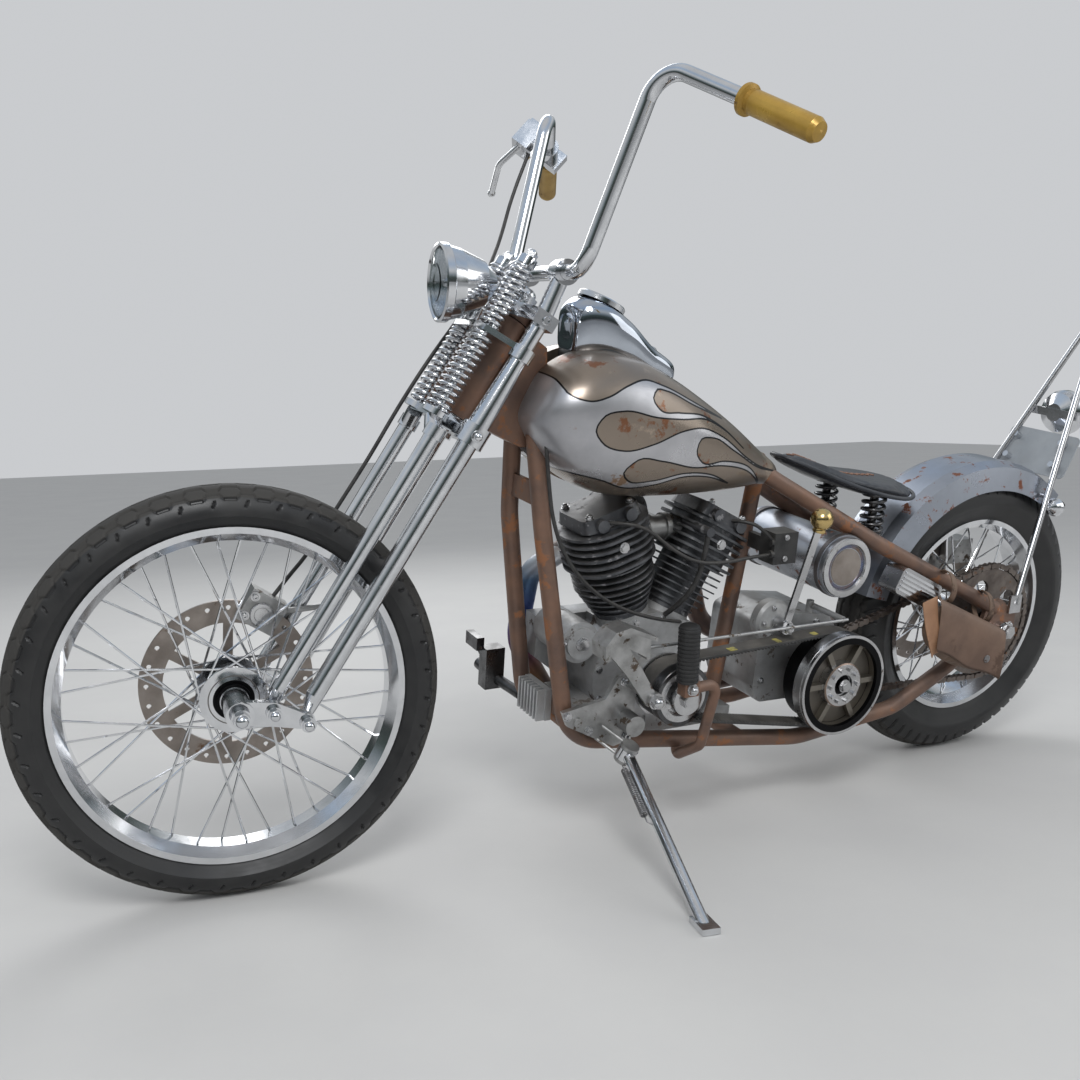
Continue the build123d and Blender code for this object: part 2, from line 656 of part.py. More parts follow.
def stay_at(x):
    """The upper stay's centre at a value of x behind its first bend."""
    front, rear = UPPER_STAY[1:3] if x > UPPER_STAY[2][0] else UPPER_STAY[2:4]
    share = (front[0] - x) / (front[0] - rear[0])
    return tuple(a + (b - a) * share for a, b in zip(front, rear))


def under_stay(x, radius):
    """The height at which a drum across the machine lies against the stay from below."""
    front, rear = UPPER_STAY[1], UPPER_STAY[2]
    slope = atan2(front[2] - rear[2], front[0] - rear[0])
    return stay_at(x)[2] - (radius + TUBE_D / 2 + SEAT_GAP) / cos(slope)


OIL_Z = under_stay(OIL_X, OIL_R)

with BuildPart() as frame:
    for side in (1, -1):
        bar(mirrored(DOWNTUBE, side), TUBE_D, DOWNTUBE_BENDS)
        bar(mirrored(UPPER_STAY, side), TUBE_D, [120, 150])
        # axle plate
        outer = PLATE_Y + PLATE_T / 2 if side > 0 else -PLATE_Y + PLATE_T / 2
        with BuildSketch(side_plane(outer)) as plate:
            with BuildLine():
                Polyline(*AXLE_PLATE, close=True)
            make_face()
            with Locations((-4, REAR_TYRE_R)):
                SlotCenterToCenter(24, AXLE_D + 2 * SEAT_GAP, mode=Mode.SUBTRACT)
        extrude(plate.sketch, amount=PLATE_T)
    bar([(1110, 0, 842), (900, 0, 812), (600, 0, 690)], TUBE_D + 6, [300])
    bar(SEAT_TUBE, TUBE_D)
    bar([(REAR_CROSS_X, -RAIL_Y + 8, REAR_CROSS_Z), (REAR_CROSS_X, RAIL_Y - 8, REAR_CROSS_Z)], REAR_CROSS_D)
    bar([(FRONT_CROSS_X, -86, FRONT_CROSS_Z), (FRONT_CROSS_X, 86, FRONT_CROSS_Z)], FRONT_CROSS_D)
    bar([(GEAR_CROSS_X, -RAIL_Y, GEAR_CROSS_Z), (GEAR_CROSS_X, RAIL_Y, GEAR_CROSS_Z)], GEAR_CROSS_D)
    bar([(SEAT_CROSS_X, -STAY_Y, SEAT_CROSS_Z), (SEAT_CROSS_X, STAY_Y, SEAT_CROSS_Z)], SEAT_CROSS_D)
    # plates across the downtubes: a small one high up, and the regulator's
    with Locations((1113, 0, 662)):
        Box(8, 104, 40)
    with Locations((REGULATOR_X, 0, REGULATOR_Z)):
        Box(REGULATOR_PLATE, REGULATOR_PLATE_W, 30)
    # strap down to the fender's crown
    strap_way = unit((SEAT_CROSS_X, 0, SEAT_CROSS_Z - REAR_TYRE_R))
    strap_foot = Vector(0, 0, REAR_TYRE_R) + strap_way * (FENDER_R + SEAT_GAP)
    with BuildSketch(Plane(origin=strap_foot, x_dir=(0, 1, 0), z_dir=strap_way)) as strap:
        RectangleRounded(36, 6, 2)
    extrude(strap.sketch, amount=hypot(SEAT_CROSS_X, SEAT_CROSS_Z - REAR_TYRE_R) - FENDER_R)
    # neck and its boxed gusset
    foot = fork_point(0, 0, NECK_LOW)
    with BuildSketch(Plane(origin=foot, x_dir=FORK_AHEAD, z_dir=FORK_UP)) as neck:
        Circle(NECK_D / 2)
    extrude(neck.sketch, amount=NECK_HIGH - NECK_LOW)
    low = fork_point(-20, 0, NECK_LOW + 4)
    high = fork_point(-20, 0, NECK_HIGH - 4)
    crest = fork_point(-70, 0, NECK_HIGH - 6)
    gusset = [(point.X, point.Z) for point in (low, high, crest)]
    slab(gusset + [(1092, 780), (1110, 742), (1140, 742)], -27, 27)
    with BuildSketch(Plane(origin=foot, x_dir=FORK_AHEAD, z_dir=FORK_UP)) as bore:
        Circle(STEM_D / 2 + HUB_GAP)
    extrude(bore.sketch, amount=NECK_HIGH - NECK_LOW, mode=Mode.SUBTRACT)
FRAME_PIECES.append((frame, "frame"))

with BuildPart() as rear_axle:
    reach = PLATE_Y + PLATE_T / 2
    across(0, REAR_TYRE_R, AXLE_D / 2, -reach - 22, reach + 22)
    for side in (1, -1):
        across(0, REAR_TYRE_R, 18, side * (reach + SEAT_GAP), side * (reach + 14))
        spacer_to = PLATE_Y - PLATE_T / 2 - SEAT_GAP
        across(0, REAR_TYRE_R, 16, side * (REAR_HUB_HALF + 8 + HUB_GAP), side * spacer_to)
FRAME_PIECES.append((rear_axle, "rear_axle"))

# Fuel tank in two halves; each row is a section: x, bottom, top, outer y
TANK_SECTIONS = (
    (1136, 768, 828, 96),
    (1112, 738, 872, 128),
    (1075, 696, 897, 146),
    (1010, 664, 911, 152),
    (940, 652, 898, 152),
    (870, 650, 868, 148),
    (800, 650, 829, 134),
    (730, 652, 785, 116),
    (660, 657, 736, 88),
    (606, 664, 698, 62),
)


def tank_half(side):
    """One half of the tank: sections with a flat inner face and a round outer one."""
    sections = []
    for x, bottom, top, outer in TANK_SECTIONS:
        with BuildSketch(Plane(origin=(x, 0, 0), x_dir=(0, 1, 0), z_dir=(1, 0, 0))) as section:
            width = outer - TANK_GAP
            with Locations((side * (TANK_GAP + width / 2), (bottom + top) / 2)):
                Rectangle(width, top - bottom)
            ends = section.vertices().group_by(Axis.Y)
            far = ends[-1] if side > 0 else ends[0]
            fillet(far, radius=0.46 * min(width, top - bottom))
        sections.append(section.sketch)
    loft(sections)
    # seated round the neck's gusset, the downtube and the stay
    add(frame.part, mode=Mode.SUBTRACT)


with BuildPart() as tank_left:
    tank_half(1)
FRAME_PIECES.append((tank_left, "tank_left"))

with BuildPart() as tank_right:
    add(mirror(tank_left.part, about=Plane.XZ, mode=Mode.PRIVATE))
FRAME_PIECES.append((tank_right, "tank_right"))

# Instrument pod over the seam of the tank; each row is a section: x, bottom, top, half width
DASH_SECTIONS = (
    (1046, 892, 984, 34),
    (1010, 892, 996, 52),
    (950, 882, 966, 56),
    (836, 850, 884, 34),
)
with BuildPart() as dash:
    dash_faces = []
    for x, bottom, top, half in DASH_SECTIONS:
        with BuildSketch(Plane(origin=(x, 0, 0), x_dir=(0, 1, 0), z_dir=(1, 0, 0))) as section:
            with Locations((0, (bottom + top) / 2)):
                Rectangle(2 * half, top - bottom)
            fillet(section.vertices().group_by(Axis.Y)[0], radius=2)
            fillet(section.vertices().group_by(Axis.Y)[-1], radius=6)
        dash_faces.append(section.sketch)
    loft(dash_faces)
    add(tank_left.part, mode=Mode.SUBTRACT)
    add(tank_right.part, mode=Mode.SUBTRACT)
FRAME_PIECES.append((dash, "dash"))

# Sprung solo seat
SEAT_SECTIONS = (
    (560, 696, 712, 34),
    (480, 664, 690, 70),
    (400, 636, 664, 106),
    (300, 618, 650, 116),
    (235, 620, 648, 78),
)
with BuildPart() as seat:
    seat_faces = []
    for x, bottom, top, half in SEAT_SECTIONS:
        with BuildSketch(Plane(origin=(x, 0, 0), x_dir=(0, 1, 0), z_dir=(1, 0, 0))) as section:
            with Locations((0, (bottom + top) / 2)):
                RectangleRounded(2 * half, top - bottom, 6)
        seat_faces.append(section.sketch)
    loft(seat_faces)
FRAME_PIECES.append((seat, "seat"))

with BuildPart() as seat_springs:
    for side in (1, -1):
        post = Plane(origin=(SEAT_CROSS_X, side * 70, SEAT_CROSS_Z + SEAT_CROSS_D / 2 + SEAT_GAP))
        coil_stack(post, 95, 6, 26, 12)
    add(seat.part, mode=Mode.SUBTRACT)
FRAME_PIECES.append((seat_springs, "seat_springs"))

# Rear fender over the tyre
FENDER_FRONT = 14.0
FENDER_REAR = 128.0
# its edge in section: how far below the crown, and how far inside the side
FENDER_EDGE = ((0, 34), (10, 10), (60, 0), (60, SHEET), (12, 12), (SHEET, 35))
with BuildPart() as rear_fender:
    front_angle = radians(FENDER_FRONT)
    arch_plane = Plane(
        origin=(0, 0, REAR_TYRE_R),
        x_dir=(cos(front_angle), 0, sin(front_angle)),
        z_dir=(sin(front_angle), 0, -cos(front_angle)),
    )
    near_edge = [(FENDER_R - drop, inset - FENDER_HALF) for drop, inset in FENDER_EDGE]
    far_edge = [(reach, -offset) for reach, offset in reversed(near_edge)]
    with BuildSketch(arch_plane) as arch:
        with BuildLine():
            Polyline(*near_edge, *far_edge, close=True)
        make_face()
    sweep_angle = FENDER_REAR - FENDER_FRONT
    revolve(arch.sketch, axis=Axis((0, 0, REAR_TYRE_R), (0, -1, 0)), revolution_arc=sweep_angle)
FRAME_PIECES.append((rear_fender, "rear_fender"))

# Pointed sissy bar
SISSY_FOOT = (-34, PLATE_Y + PLATE_T / 2 + SEAT_GAP + 3, 378)
SISSY_PEAK = (-334, 0, 1019)
SISSY_D = 14.0
FENDER_TAB_SHARE = 0.36


def sissy_at(share, side=1):
    """A point of the sissy bar's leg, from foot to peak."""
    foot_x, foot_y, foot_z = SISSY_FOOT
    low_end = (foot_x, side * foot_y, foot_z)
    top_end = (SISSY_PEAK[0] + 8, side * 6, SISSY_PEAK[2] - 20)
    return tuple(a + (b - a) * share for a, b in zip(low_end, top_end))


with BuildPart() as sissy_bar:
    for side in (1, -1):
        low_end = sissy_at(0, side)
        bar([low_end, sissy_at(1, side)], SISSY_D)
        # spacer in to the fender's side
        tab_x, tab_y, tab_z = sissy_at(FENDER_TAB_SHARE, side)
        across(tab_x, tab_z, 6, side * (FENDER_HALF + SEAT_GAP), tab_y - side * 2)
        with Locations(low_end):
            Box(34, 6, 40)
    with Locations((SISSY_PEAK[0] + 6, 0, SISSY_PEAK[2] - 16)):
        Sphere(12)
FRAME_PIECES.append((sissy_bar, "sissy_bar"))

# Oil tank: a drum across the frame with a ring on each cap
with BuildPart() as oil_tank:
    across(OIL_X, OIL_Z, OIL_R, -OIL_HALF, OIL_HALF)
    for side in (1, -1):
        across(OIL_X, OIL_Z, OIL_R + 3, side * (OIL_HALF - 22), side * (OIL_HALF - 12))
        with Locations((OIL_X, side * (OIL_HALF + 1), OIL_Z)):
            Cylinder(OIL_R - 14, 6, rotation=(90, 0, 0), mode=Mode.SUBTRACT)
FRAME_PIECES.append((oil_tank, "oil_tank"))

# Engine: cases, barrels, heads with their covers

with BuildPart() as crankcase:
    across(CRANK_X, CRANK_Z, CASE_R, -CASE_HALF, CASE_HALF)
    slab(
        [(CRANK_X - 90, 350), (CRANK_X - 99, 390), (CRANK_X - 9, 424), (CRANK_X + 84, 402),
         (CRANK_X + 84, 360)],
        -CASE_HALF, CASE_HALF,
    )
    for way in (1, -1):
        lean = radians(V_HALF * way - ENGINE_TILT)
        axis = Vector(sin(lean), 0, cos(lean))
        centre = Vector(CRANK_X, 0, CRANK_Z)
        taper(centre + axis * (BARREL_BASE - 60), centre + axis * BARREL_BASE, 104, 104)
    front_foot = FRONT_CROSS_Z + FRONT_CROSS_D / 2 + SEAT_GAP
    toe = FRONT_CROSS_X + 12
    slab([(CRANK_X, front_foot), (CRANK_X, 262), (toe, 262), (toe, front_foot)], -60, 60)
    rear_foot = REAR_CROSS_Z + REAR_CROSS_D / 2 + SEAT_GAP
    for side in (1, -1):
        slab([(REAR_CROSS_X - 12, rear_foot), (REAR_CROSS_X - 12, 208), (CRANK_X, 232), (CRANK_X, rear_foot)],
             side * 24, side * 56)
    # cam chest on the right
    slab(
        [(CRANK_X - 70, 240), (CRANK_X - 70, 350), (CRANK_X + 60, 400), (CRANK_X + 190, 400),
         (CRANK_X + 190, 320), (CRANK_X + 90, 240)],
        -98, -CASE_HALF,
    )
    across(CRANK_X, CRANK_Z, 40, CASE_HALF, BELT_Y - BELT_W / 2 - 14)
FRAME_PIECES.append((crankcase, "crankcase"))

# Generator ahead of the cases, and the finned regulator on its plate
REGULATOR_FINS = 7
with BuildPart() as generator:
    across(1012, 384, 39, -CASE_HALF + 0.5, 58)
    across(1012, 384, 30, 58, 66)
    back = REGULATOR_X + REGULATOR_PLATE / 2 + SEAT_GAP
    with Locations((back + 6, 0, REGULATOR_Z)):
        Box(12, REGULATOR_W, 60)
        with GridLocations(0, REGULATOR_W / REGULATOR_FINS, 1, REGULATOR_FINS):
            with Locations((12, 0, 0)):
                Box(20, 5, 60)
FRAME_PIECES.append((generator, "generator"))


def barrel_plane(way, height):
    """The plane across a cylinder at a height above the crank; way 1 leans ahead, -1 back."""
    lean = radians(V_HALF * way - ENGINE_TILT)
    axis = Vector(sin(lean), 0, cos(lean))
    centre = Vector(CRANK_X, 0, CRANK_Z) + axis * height
    return Plane(origin=centre, x_dir=(cos(lean), 0, -sin(lean)), z_dir=axis)


with BuildPart() as cylinders:
    pitch = (BARREL_TOP - BARREL_BASE) / FINS
    for way in (1, -1):
        core = BARREL_CORE
        comb = [(0, SEAT_GAP), (core, SEAT_GAP)]
        for fin in range(FINS):
            root = fin * pitch + pitch - FIN_T
            # the lower fins are smaller, so that the two barrels clear each other in the fork of the V
            reach = min(BARREL_R, (BARREL_BASE + root) * tan(radians(V_HALF)) - 1)
            comb += [(core, root), (reach, root), (reach, root + FIN_T), (core, root + FIN_T)]
        comb.append((0, FINS * pitch))
        ring(comb, barrel_plane(way, BARREL_BASE))
FRAME_PIECES.append((cylinders, "cylinders"))

HEAD_FINS = 6
HEAD_W = 168.0
HEAD_D = 160.0
HEAD_ROUND = 68.0
HOSE_ROOT = (778.0, 586.0)
with BuildPart() as heads:
    for way in (1, -1):
        base = barrel_plane(way, BARREL_TOP + SEAT_GAP)
        with BuildSketch(base) as foot:
            RectangleRounded(124, 128, 50)
        extrude(foot.sketch, amount=HEAD_TOP - BARREL_TOP)
        rise = (HEAD_TOP - BARREL_TOP) / HEAD_FINS
        for fin in range(HEAD_FINS):
            with BuildSketch(barrel_plane(way, BARREL_TOP + 4 + fin * rise)) as leaf:
                RectangleRounded(HEAD_W, HEAD_D, HEAD_ROUND)
            extrude(leaf.sketch, amount=FIN_T + 2)
        with BuildSketch(barrel_plane(way, HEAD_TOP)) as lid:
            RectangleRounded(128, 118, 24)
        extrude(lid.sketch, amount=COVER_TOP - HEAD_TOP, taper=12)
        # rocker shafts across the lid
        with Locations(barrel_plane(way, HEAD_TOP + 10).location):
            with Locations((30, 0, 0), (-30, 0, 0)):
                Cylinder(12, 136, rotation=(90, 0, 0))
    # boss that the oil hose hangs from
    across(HOSE_ROOT[0], HOSE_ROOT[1], 9, 20, 104)
FRAME_PIECES.append((heads, "heads"))

INTAKE_X = CRANK_X - 20
INTAKE_Z = 574.0
with BuildPart() as intake:
    with Locations((INTAKE_X, 0, INTAKE_Z)):
        Cylinder(23, 100, rotation=(0, 90, 0))
    bar([(INTAKE_X, 0, INTAKE_Z), (INTAKE_X, -100, INTAKE_Z)], 44)
    # clamp rings
    with Locations((INTAKE_X - 20, 0, INTAKE_Z), (INTAKE_X + 20, 0, INTAKE_Z)):
        Cylinder(27, 10, rotation=(0, 90, 0))
    add(heads.part, mode=Mode.SUBTRACT)
    across(INTAKE_X, INTAKE_Z, 50, -140, -100)
FRAME_PIECES.append((intake, "intake"))

# Two exhaust pipes on the right
FRONT_PIPE = (
    (990, -40, 540), (1030, -118, 470), (1046, -126, 330), (960, -134, 196), (600, -157, 160),
    (40, -178, 180),
)
REAR_PIPE = ((700, -60, 575), (664, -122, 470), (590, -152, 300), (380, -174, 232), (70, -182, 252))
with BuildPart() as pipes:
    bar(FRONT_PIPE, PIPE_D, [60, 90, 90, 300])
    bar(REAR_PIPE, PIPE_D, [60, 120, 150])
    add(heads.part, mode=Mode.SUBTRACT)
with BuildPart() as exhaust:
    add(pipes.part.solids().sort_by(SortBy.VOLUME)[-2:])
FRAME_PIECES.append((exhaust, "exhaust"))

# Gearbox with its round shifter cap and the clutch's release arm
RELEASE_X = 478.0
RELEASE_Y = 158.0
RELEASE_Z = 404.0
CLUTCH_ROD_D = 6.0
with BuildPart() as gearbox:
    with BuildSketch(side_plane(74)) as box:
        with BuildLine():
            Polyline(
                (404, 236), (396, 330), (440, 384), (560, 398), (610, 380), (614, 250), (600, 214),
                (430, 210), close=True,
            )
        make_face()
        fillet(box.vertices(), radius=18)
    extrude(box.sketch, amount=158)
    across(CLUTCH_X, CLUTCH_Z, 48, 74, BELT_Y - BELT_W / 2 - 3)
    cap = (
        (0, 74), (SHIFT_R, 74), (SHIFT_R, SHIFT_CAP_Y - 14), (SHIFT_R - 5, SHIFT_CAP_Y - 8),
        (SHIFT_R - 16, SHIFT_CAP_Y - 3), (18, SHIFT_CAP_Y), (0, SHIFT_CAP_Y),
    )
    ring(cap, wheel_plane(SHIFT_X, SHIFT_Z))
    # release arm that the clutch rod pulls
    taper((RELEASE_X, 60, 376), (RELEASE_X, 60, RELEASE_Z + 9), 18, 15)
    across(RELEASE_X, RELEASE_Z, 6, 60, RELEASE_Y)
    # foot on the cross tube
    sole = GEAR_CROSS_Z + GEAR_CROSS_D / 2 + SEAT_GAP
    slab(
        [(GEAR_CROSS_X - 16, sole), (GEAR_CROSS_X - 2, 230), (500, 240), (480, 214),
         (GEAR_CROSS_X + 18, sole)],
        -44, 44,
    )
FRAME_PIECES.append((gearbox, "gearbox"))

with BuildPart() as drive_pulley:
    base = BELT_Y - BELT_W / 2
    across(CRANK_X, CRANK_Z, PULLEY_R - BELT_T - SEAT_GAP, base, BELT_Y + BELT_W / 2)
    across(CRANK_X, CRANK_Z, PULLEY_R + 4, base - 5, base - 1)
    across(CRANK_X, CRANK_Z, 30, base - 13, BELT_Y + BELT_W / 2 + 16)
    across(CRANK_X, CRANK_Z, PULLEY_R - BELT_T - 12, BELT_Y + 12, BELT_Y + BELT_W / 2 + 1, mode=Mode.SUBTRACT)
    across(CRANK_X, CRANK_Z, 24, BELT_Y, BELT_Y + BELT_W / 2 + 14)
FRAME_PIECES.append((drive_pulley, "drive_pulley"))

# Clutch: belt drum with a bright rim, ribbed basket and studded pressure plate
RIBS = 6
STUDS = 10
PRESSURE_R = 46.0
BASKET_DEPTH = 14.0
with BuildPart() as clutch:
    base = BELT_Y - BELT_W / 2
    face = BELT_Y + BELT_W / 2
    drum = CLUTCH_R - BELT_T - SEAT_GAP
    floor = face - BASKET_DEPTH
    bowl = (
        (0, base), (drum, base), (drum, face + 1), (CLUTCH_R + 2, face + 1), (CLUTCH_R + 2, face + 8),
        (drum - 8, face + 8), (drum - 8, floor), (PRESSURE_R, floor), (PRESSURE_R, face + 5),
        (PRESSURE_R - 3, face + 7), (22, face + 7), (22, face), (11, face), (11, face + 9), (0, face + 9),
    )
    ring(bowl, wheel_plane(CLUTCH_X, CLUTCH_Z))
    with BuildSketch(wheel_plane(CLUTCH_X, CLUTCH_Z, floor - 1)) as ribs:
        with PolarLocations((PRESSURE_R + drum) / 2 - 4, RIBS):
            Rectangle(drum - PRESSURE_R, 11)
    extrude(ribs.sketch, amount=BASKET_DEPTH)
    with BuildSketch(wheel_plane(CLUTCH_X, CLUTCH_Z, face + 6)) as studs:
        with PolarLocations(PRESSURE_R - 12, STUDS):
            RegularPolygon(4.5, 6)
    extrude(studs.sketch, amount=7)
FRAME_PIECES.append((clutch, "clutch"))


def loop_outline(first, first_r, second, second_r):
    """A belt's outline round two pulleys, as a sketch of two discs and the band between them."""
    (x1, z1), (x2, z2) = first, second
    away = hypot(x2 - x1, z2 - z1)
    tilt = atan2(z2 - z1, x2 - x1)
    wrap = atan2(sqrt(away**2 - (first_r - second_r) ** 2), first_r - second_r)
    corners = []
    for x, z, radius, turn in ((x1, z1, first_r, tilt + wrap), (x2, z2, second_r, tilt + wrap),
                               (x2, z2, second_r, tilt - wrap), (x1, z1, first_r, tilt - wrap)):
        corners.append((x + radius * cos(turn), z + radius * sin(turn)))
    with Locations((x1, z1)):
        Circle(first_r)
    with Locations((x2, z2)):
        Circle(second_r)
    with BuildLine() as band:
        Polyline(*corners, close=True)
    make_face(band.edges())


def loop_belt(first, first_r, second, second_r, thickness, y_mid, width):
    """A closed band round two pulleys."""
    with BuildSketch(side_plane(y_mid + width / 2)) as outer:
        loop_outline(first, first_r, second, second_r)
    with BuildSketch(side_plane(y_mid + width / 2)) as inner:
        loop_outline(first, first_r - thickness, second, second_r - thickness)
    extrude(outer.sketch, amount=width)
    extrude(inner.sketch, amount=width, mode=Mode.SUBTRACT)


with BuildPart() as primary_belt:
    loop_belt((CRANK_X, CRANK_Z), PULLEY_R, (CLUTCH_X, CLUTCH_Z), CLUTCH_R, BELT_T, BELT_Y, BELT_W)
FRAME_PIECES.append((primary_belt, "primary_belt"))



def loop_points(first, first_r, second, second_r, count):
    """Evenly spaced points round two circles and the runs between them, each with its way out."""
    (x1, z1), (x2, z2) = first, second
    away = hypot(x2 - x1, z2 - z1)
    tilt = atan2(z2 - z1, x2 - x1)
    wrap = atan2(sqrt(away**2 - (first_r - second_r) ** 2), first_r - second_r)
    run = sqrt(away**2 - (first_r - second_r) ** 2)
    first_arc = first_r * 2 * (pi - wrap)
    second_arc = second_r * 2 * wrap
    whole = first_arc + second_arc + 2 * run
    points = []
    for index in range(count):
        along = whole * index / count
        if along < first_arc:
            angle = tilt + wrap + along / first_r
            base, radius, ahead = first, first_r, 0
        elif along < first_arc + run:
            angle = tilt - wrap
            base, radius, ahead = first, first_r, along - first_arc
        elif along < first_arc + run + second_arc:
            angle = tilt - wrap + (along - first_arc - run) / second_r
            base, radius, ahead = second, second_r, 0
        else:
            angle = tilt + wrap
            base, radius, ahead = second, second_r, along - first_arc - run - second_arc
        way = (cos(angle), sin(angle))
        x = base[0] + radius * way[0] - ahead * way[1]
        z = base[1] + radius * way[1] + ahead * way[0]
        points.append((x, z, way))
    return points


# Drive chain: its plates are wide at the pins and narrow between them
LINKS = 106
PIN_HALF = CHAIN_D / 2
WAIST_HALF = 4.4
with BuildPart() as final_chain:
    sprocket, hub = (CLUTCH_X, CLUTCH_Z), (0, REAR_TYRE_R)
    stations = loop_points(sprocket, GEAR_SPROCKET_R, hub, REAR_SPROCKET_R, 2 * LINKS)
    widths = [(PIN_HALF, WAIST_HALF)[index % 2] for index in range(2 * LINKS)]
    for sign, mode in ((1, Mode.ADD), (-1, Mode.SUBTRACT)):
        edge = []
        for (x, z, way), half in zip(stations, widths):
            edge.append((x + sign * half * way[0], z + sign * half * way[1]))
        slab(edge, CHAIN_Y - CHAIN_T / 2, CHAIN_Y + CHAIN_T / 2, mode=mode)
FRAME_PIECES.append((final_chain, "final_chain"))

# Side stand's swing, from deployed to stowed under the rail
STAND_WAY = unit(Vector(*STAND_FOOT) - Vector(*STAND_PIVOT))
STAND_AXIS = unit(STAND_WAY.cross(Vector(*STAND_STOWED)))
STAND_SWING = STAND_WAY.get_angle(Vector(*STAND_STOWED))
WEB_WAY = unit((STAND_WAY + unit(STAND_STOWED)) * -1)

# Ignition coil on the seat tube
with BuildPart() as ignition_coil:
    with Locations((592, 76, 540)):
        Box(56, 44, 62)
    with Locations((612, 33, 540)):
        Box(14, 46, 30)
    for lead_y, lead_z in COIL_ENDS:
        with Locations((622, lead_y, lead_z)):
            Cylinder(8, 8, rotation=(0, 90, 0))
    add(frame.part, mode=Mode.SUBTRACT)
FRAME_PIECES.append((ignition_coil, "ignition_coil"))

# Smaller pieces on the left
COIL_X = 272.0
COIL_TILT = degrees(atan2(UPPER_STAY[2][2] - UPPER_STAY[3][2], UPPER_STAY[2][0] - UPPER_STAY[3][0]))
with BuildPart() as coil_cover:
    seat_point = stay_at(COIL_X)
    along_stay = (cos(radians(COIL_TILT)), 0, sin(radians(COIL_TILT)))
    foot = (COIL_X, CHAIN_Y + CHAIN_T / 2 + 4, seat_point[2] - TUBE_D / 2 - 33)
    with BuildSketch(Plane(origin=foot, x_dir=along_stay, z_dir=(0, 1, 0))) as block:
        RectangleRounded(128, 56, 12)
    extrude(block.sketch, amount=48)
FRAME_PIECES.append((coil_cover, "coil_cover"))

with BuildPart() as tool_bag:
    with BuildSketch(side_plane(190)) as bag:
        with BuildLine():
            Polyline((232, 438), (30, 346), (8, 300), (24, 236), (196, 262), (296, 362), close=True)
        make_face()
        fillet(bag.vertices(), radius=8)
    extrude(bag.sketch, amount=42)
FRAME_PIECES.append((tool_bag, "tool_bag"))

with BuildPart() as shift_lever:
    pivot = Vector(SHIFT_X, 128, SHIFT_Z)
    knob = Vector(556, 148, 608)
    with BuildSketch(Plane(origin=pivot, x_dir=(0, 1, 0), z_dir=knob - pivot)) as strip:
        Rectangle(5, 16)
    extrude(strip.sketch, amount=(knob - pivot).length)
    across(SHIFT_X, SHIFT_Z, 14, SHIFT_CAP_Y + SEAT_GAP, 134)
    with Locations(knob):
        Sphere(21)
FRAME_PIECES.append((shift_lever, "shift_lever"))

with BuildPart() as stand_bracket:
    slab(
        [(1072, 278), (1060, 250), (960, 196), (922, 205), (919, 334), (958, 334), (984, 292)],
        BRACKET_Y, BRACKET_Y + BRACKET_T,
    )
    across(1040, 256, 9, BRACKET_Y + 5, BRACKET_Y + 15)
    across(938, 246, 20, BRACKET_Y, 150)
    # cheeks and pin that carry the stand's eye
    pivot = Vector(*STAND_PIVOT)
    for side in (1, -1):
        out = STAND_AXIS * side
        cheek = Plane(origin=pivot + out * (EYE_HALF + SEAT_GAP), z_dir=out)
        with BuildSketch(cheek) as disc:
            Circle(EYE_R - 1)
        extrude(disc.sketch, amount=CHEEK_T)
        web_from = pivot + out * (EYE_HALF + SEAT_GAP + CHEEK_T / 2) + WEB_WAY * 8
        bar([web_from, web_from + WEB_WAY * 54], CHEEK_T - 1)
    with BuildSketch(Plane(origin=pivot - STAND_AXIS * (EYE_HALF + 4), z_dir=STAND_AXIS)) as pin:
        Circle(STAND_PIN / 2)
    extrude(pin.sketch, amount=2 * (EYE_HALF + 4))
FRAME_PIECES.append((stand_bracket, "stand_bracket"))

PEDAL_X = 938.0
PEDAL_Z = 318.0
with BuildPart() as clutch_pedal:
    across(PEDAL_X, PEDAL_Z, 15, 186, 206)
    across(PEDAL_X, PEDAL_Z, 8, BRACKET_Y + BRACKET_T + SEAT_GAP, 196)
    # strap lever up to the pad
    slab(
        [(926, 314), (936, 303), (952, 308), (1000, 372), (1036, 412), (1030, 436), (1010, 436), (972, 384)],
        193, 201,
    )
    slab([(1056, 412), (1058, 436), (1040, 460), (1014, 465), (960, 441), (960, 400), (1000, 422)], 197, 203)
    slab(
        [(1058, 412), (1061, 438), (1042, 462), (1014, 468), (957, 444), (957, 436), (1013, 459), (1037, 454),
         (1051, 436), (1048, 412)],
        176, 222,
    )
    # ear and rod that pull the clutch's release arm
    slab([(957, 398), (957, 441), (964, 441), (964, 398)], 176, 203)
    rod_y = RELEASE_Y + SEAT_GAP + CLUTCH_ROD_D / 2
    bar([(960, 184, 412), (RELEASE_X - 8, rod_y, RELEASE_Z)], CLUTCH_ROD_D)
FRAME_PIECES.append((clutch_pedal, "clutch_pedal"))

with BuildPart() as left_peg:
    bar([(806, 97, 172), (808, 106, 150), (812, 180, 203), (806, 205, 335), (862, 207, 332)], 20, [8, 24, 24])
    bar(DOWNTUBE, TUBE_D + 2 * SEAT_GAP, DOWNTUBE_BENDS, mode=Mode.SUBTRACT)
    peg_way = unit((6, 0, 104))
    coil_stack(Plane(origin=(876, 207, 348), z_dir=peg_way), 104, 10, 17.5, 0)
    with Locations((872, 207, 336)):
        Box(30, 24, 28)
FRAME_PIECES.append((left_peg, "left_peg"))

with BuildPart() as foot_controls_right:
    bar([(1044, -101, 226), (1066, -162, 238)], 22)
    with Locations((1074, -170, 262)):
        Box(40, 32, 84)
    bar([(1062, -166, 236), (1066, -240, 242)], 26)
    bar([(1074, -180, 262), (1096, -200, 306)], 14)
    with Locations((1097, -203, 308)):
        Box(16, 52, 26)
FRAME_PIECES.append((foot_controls_right, "foot_controls_right"))

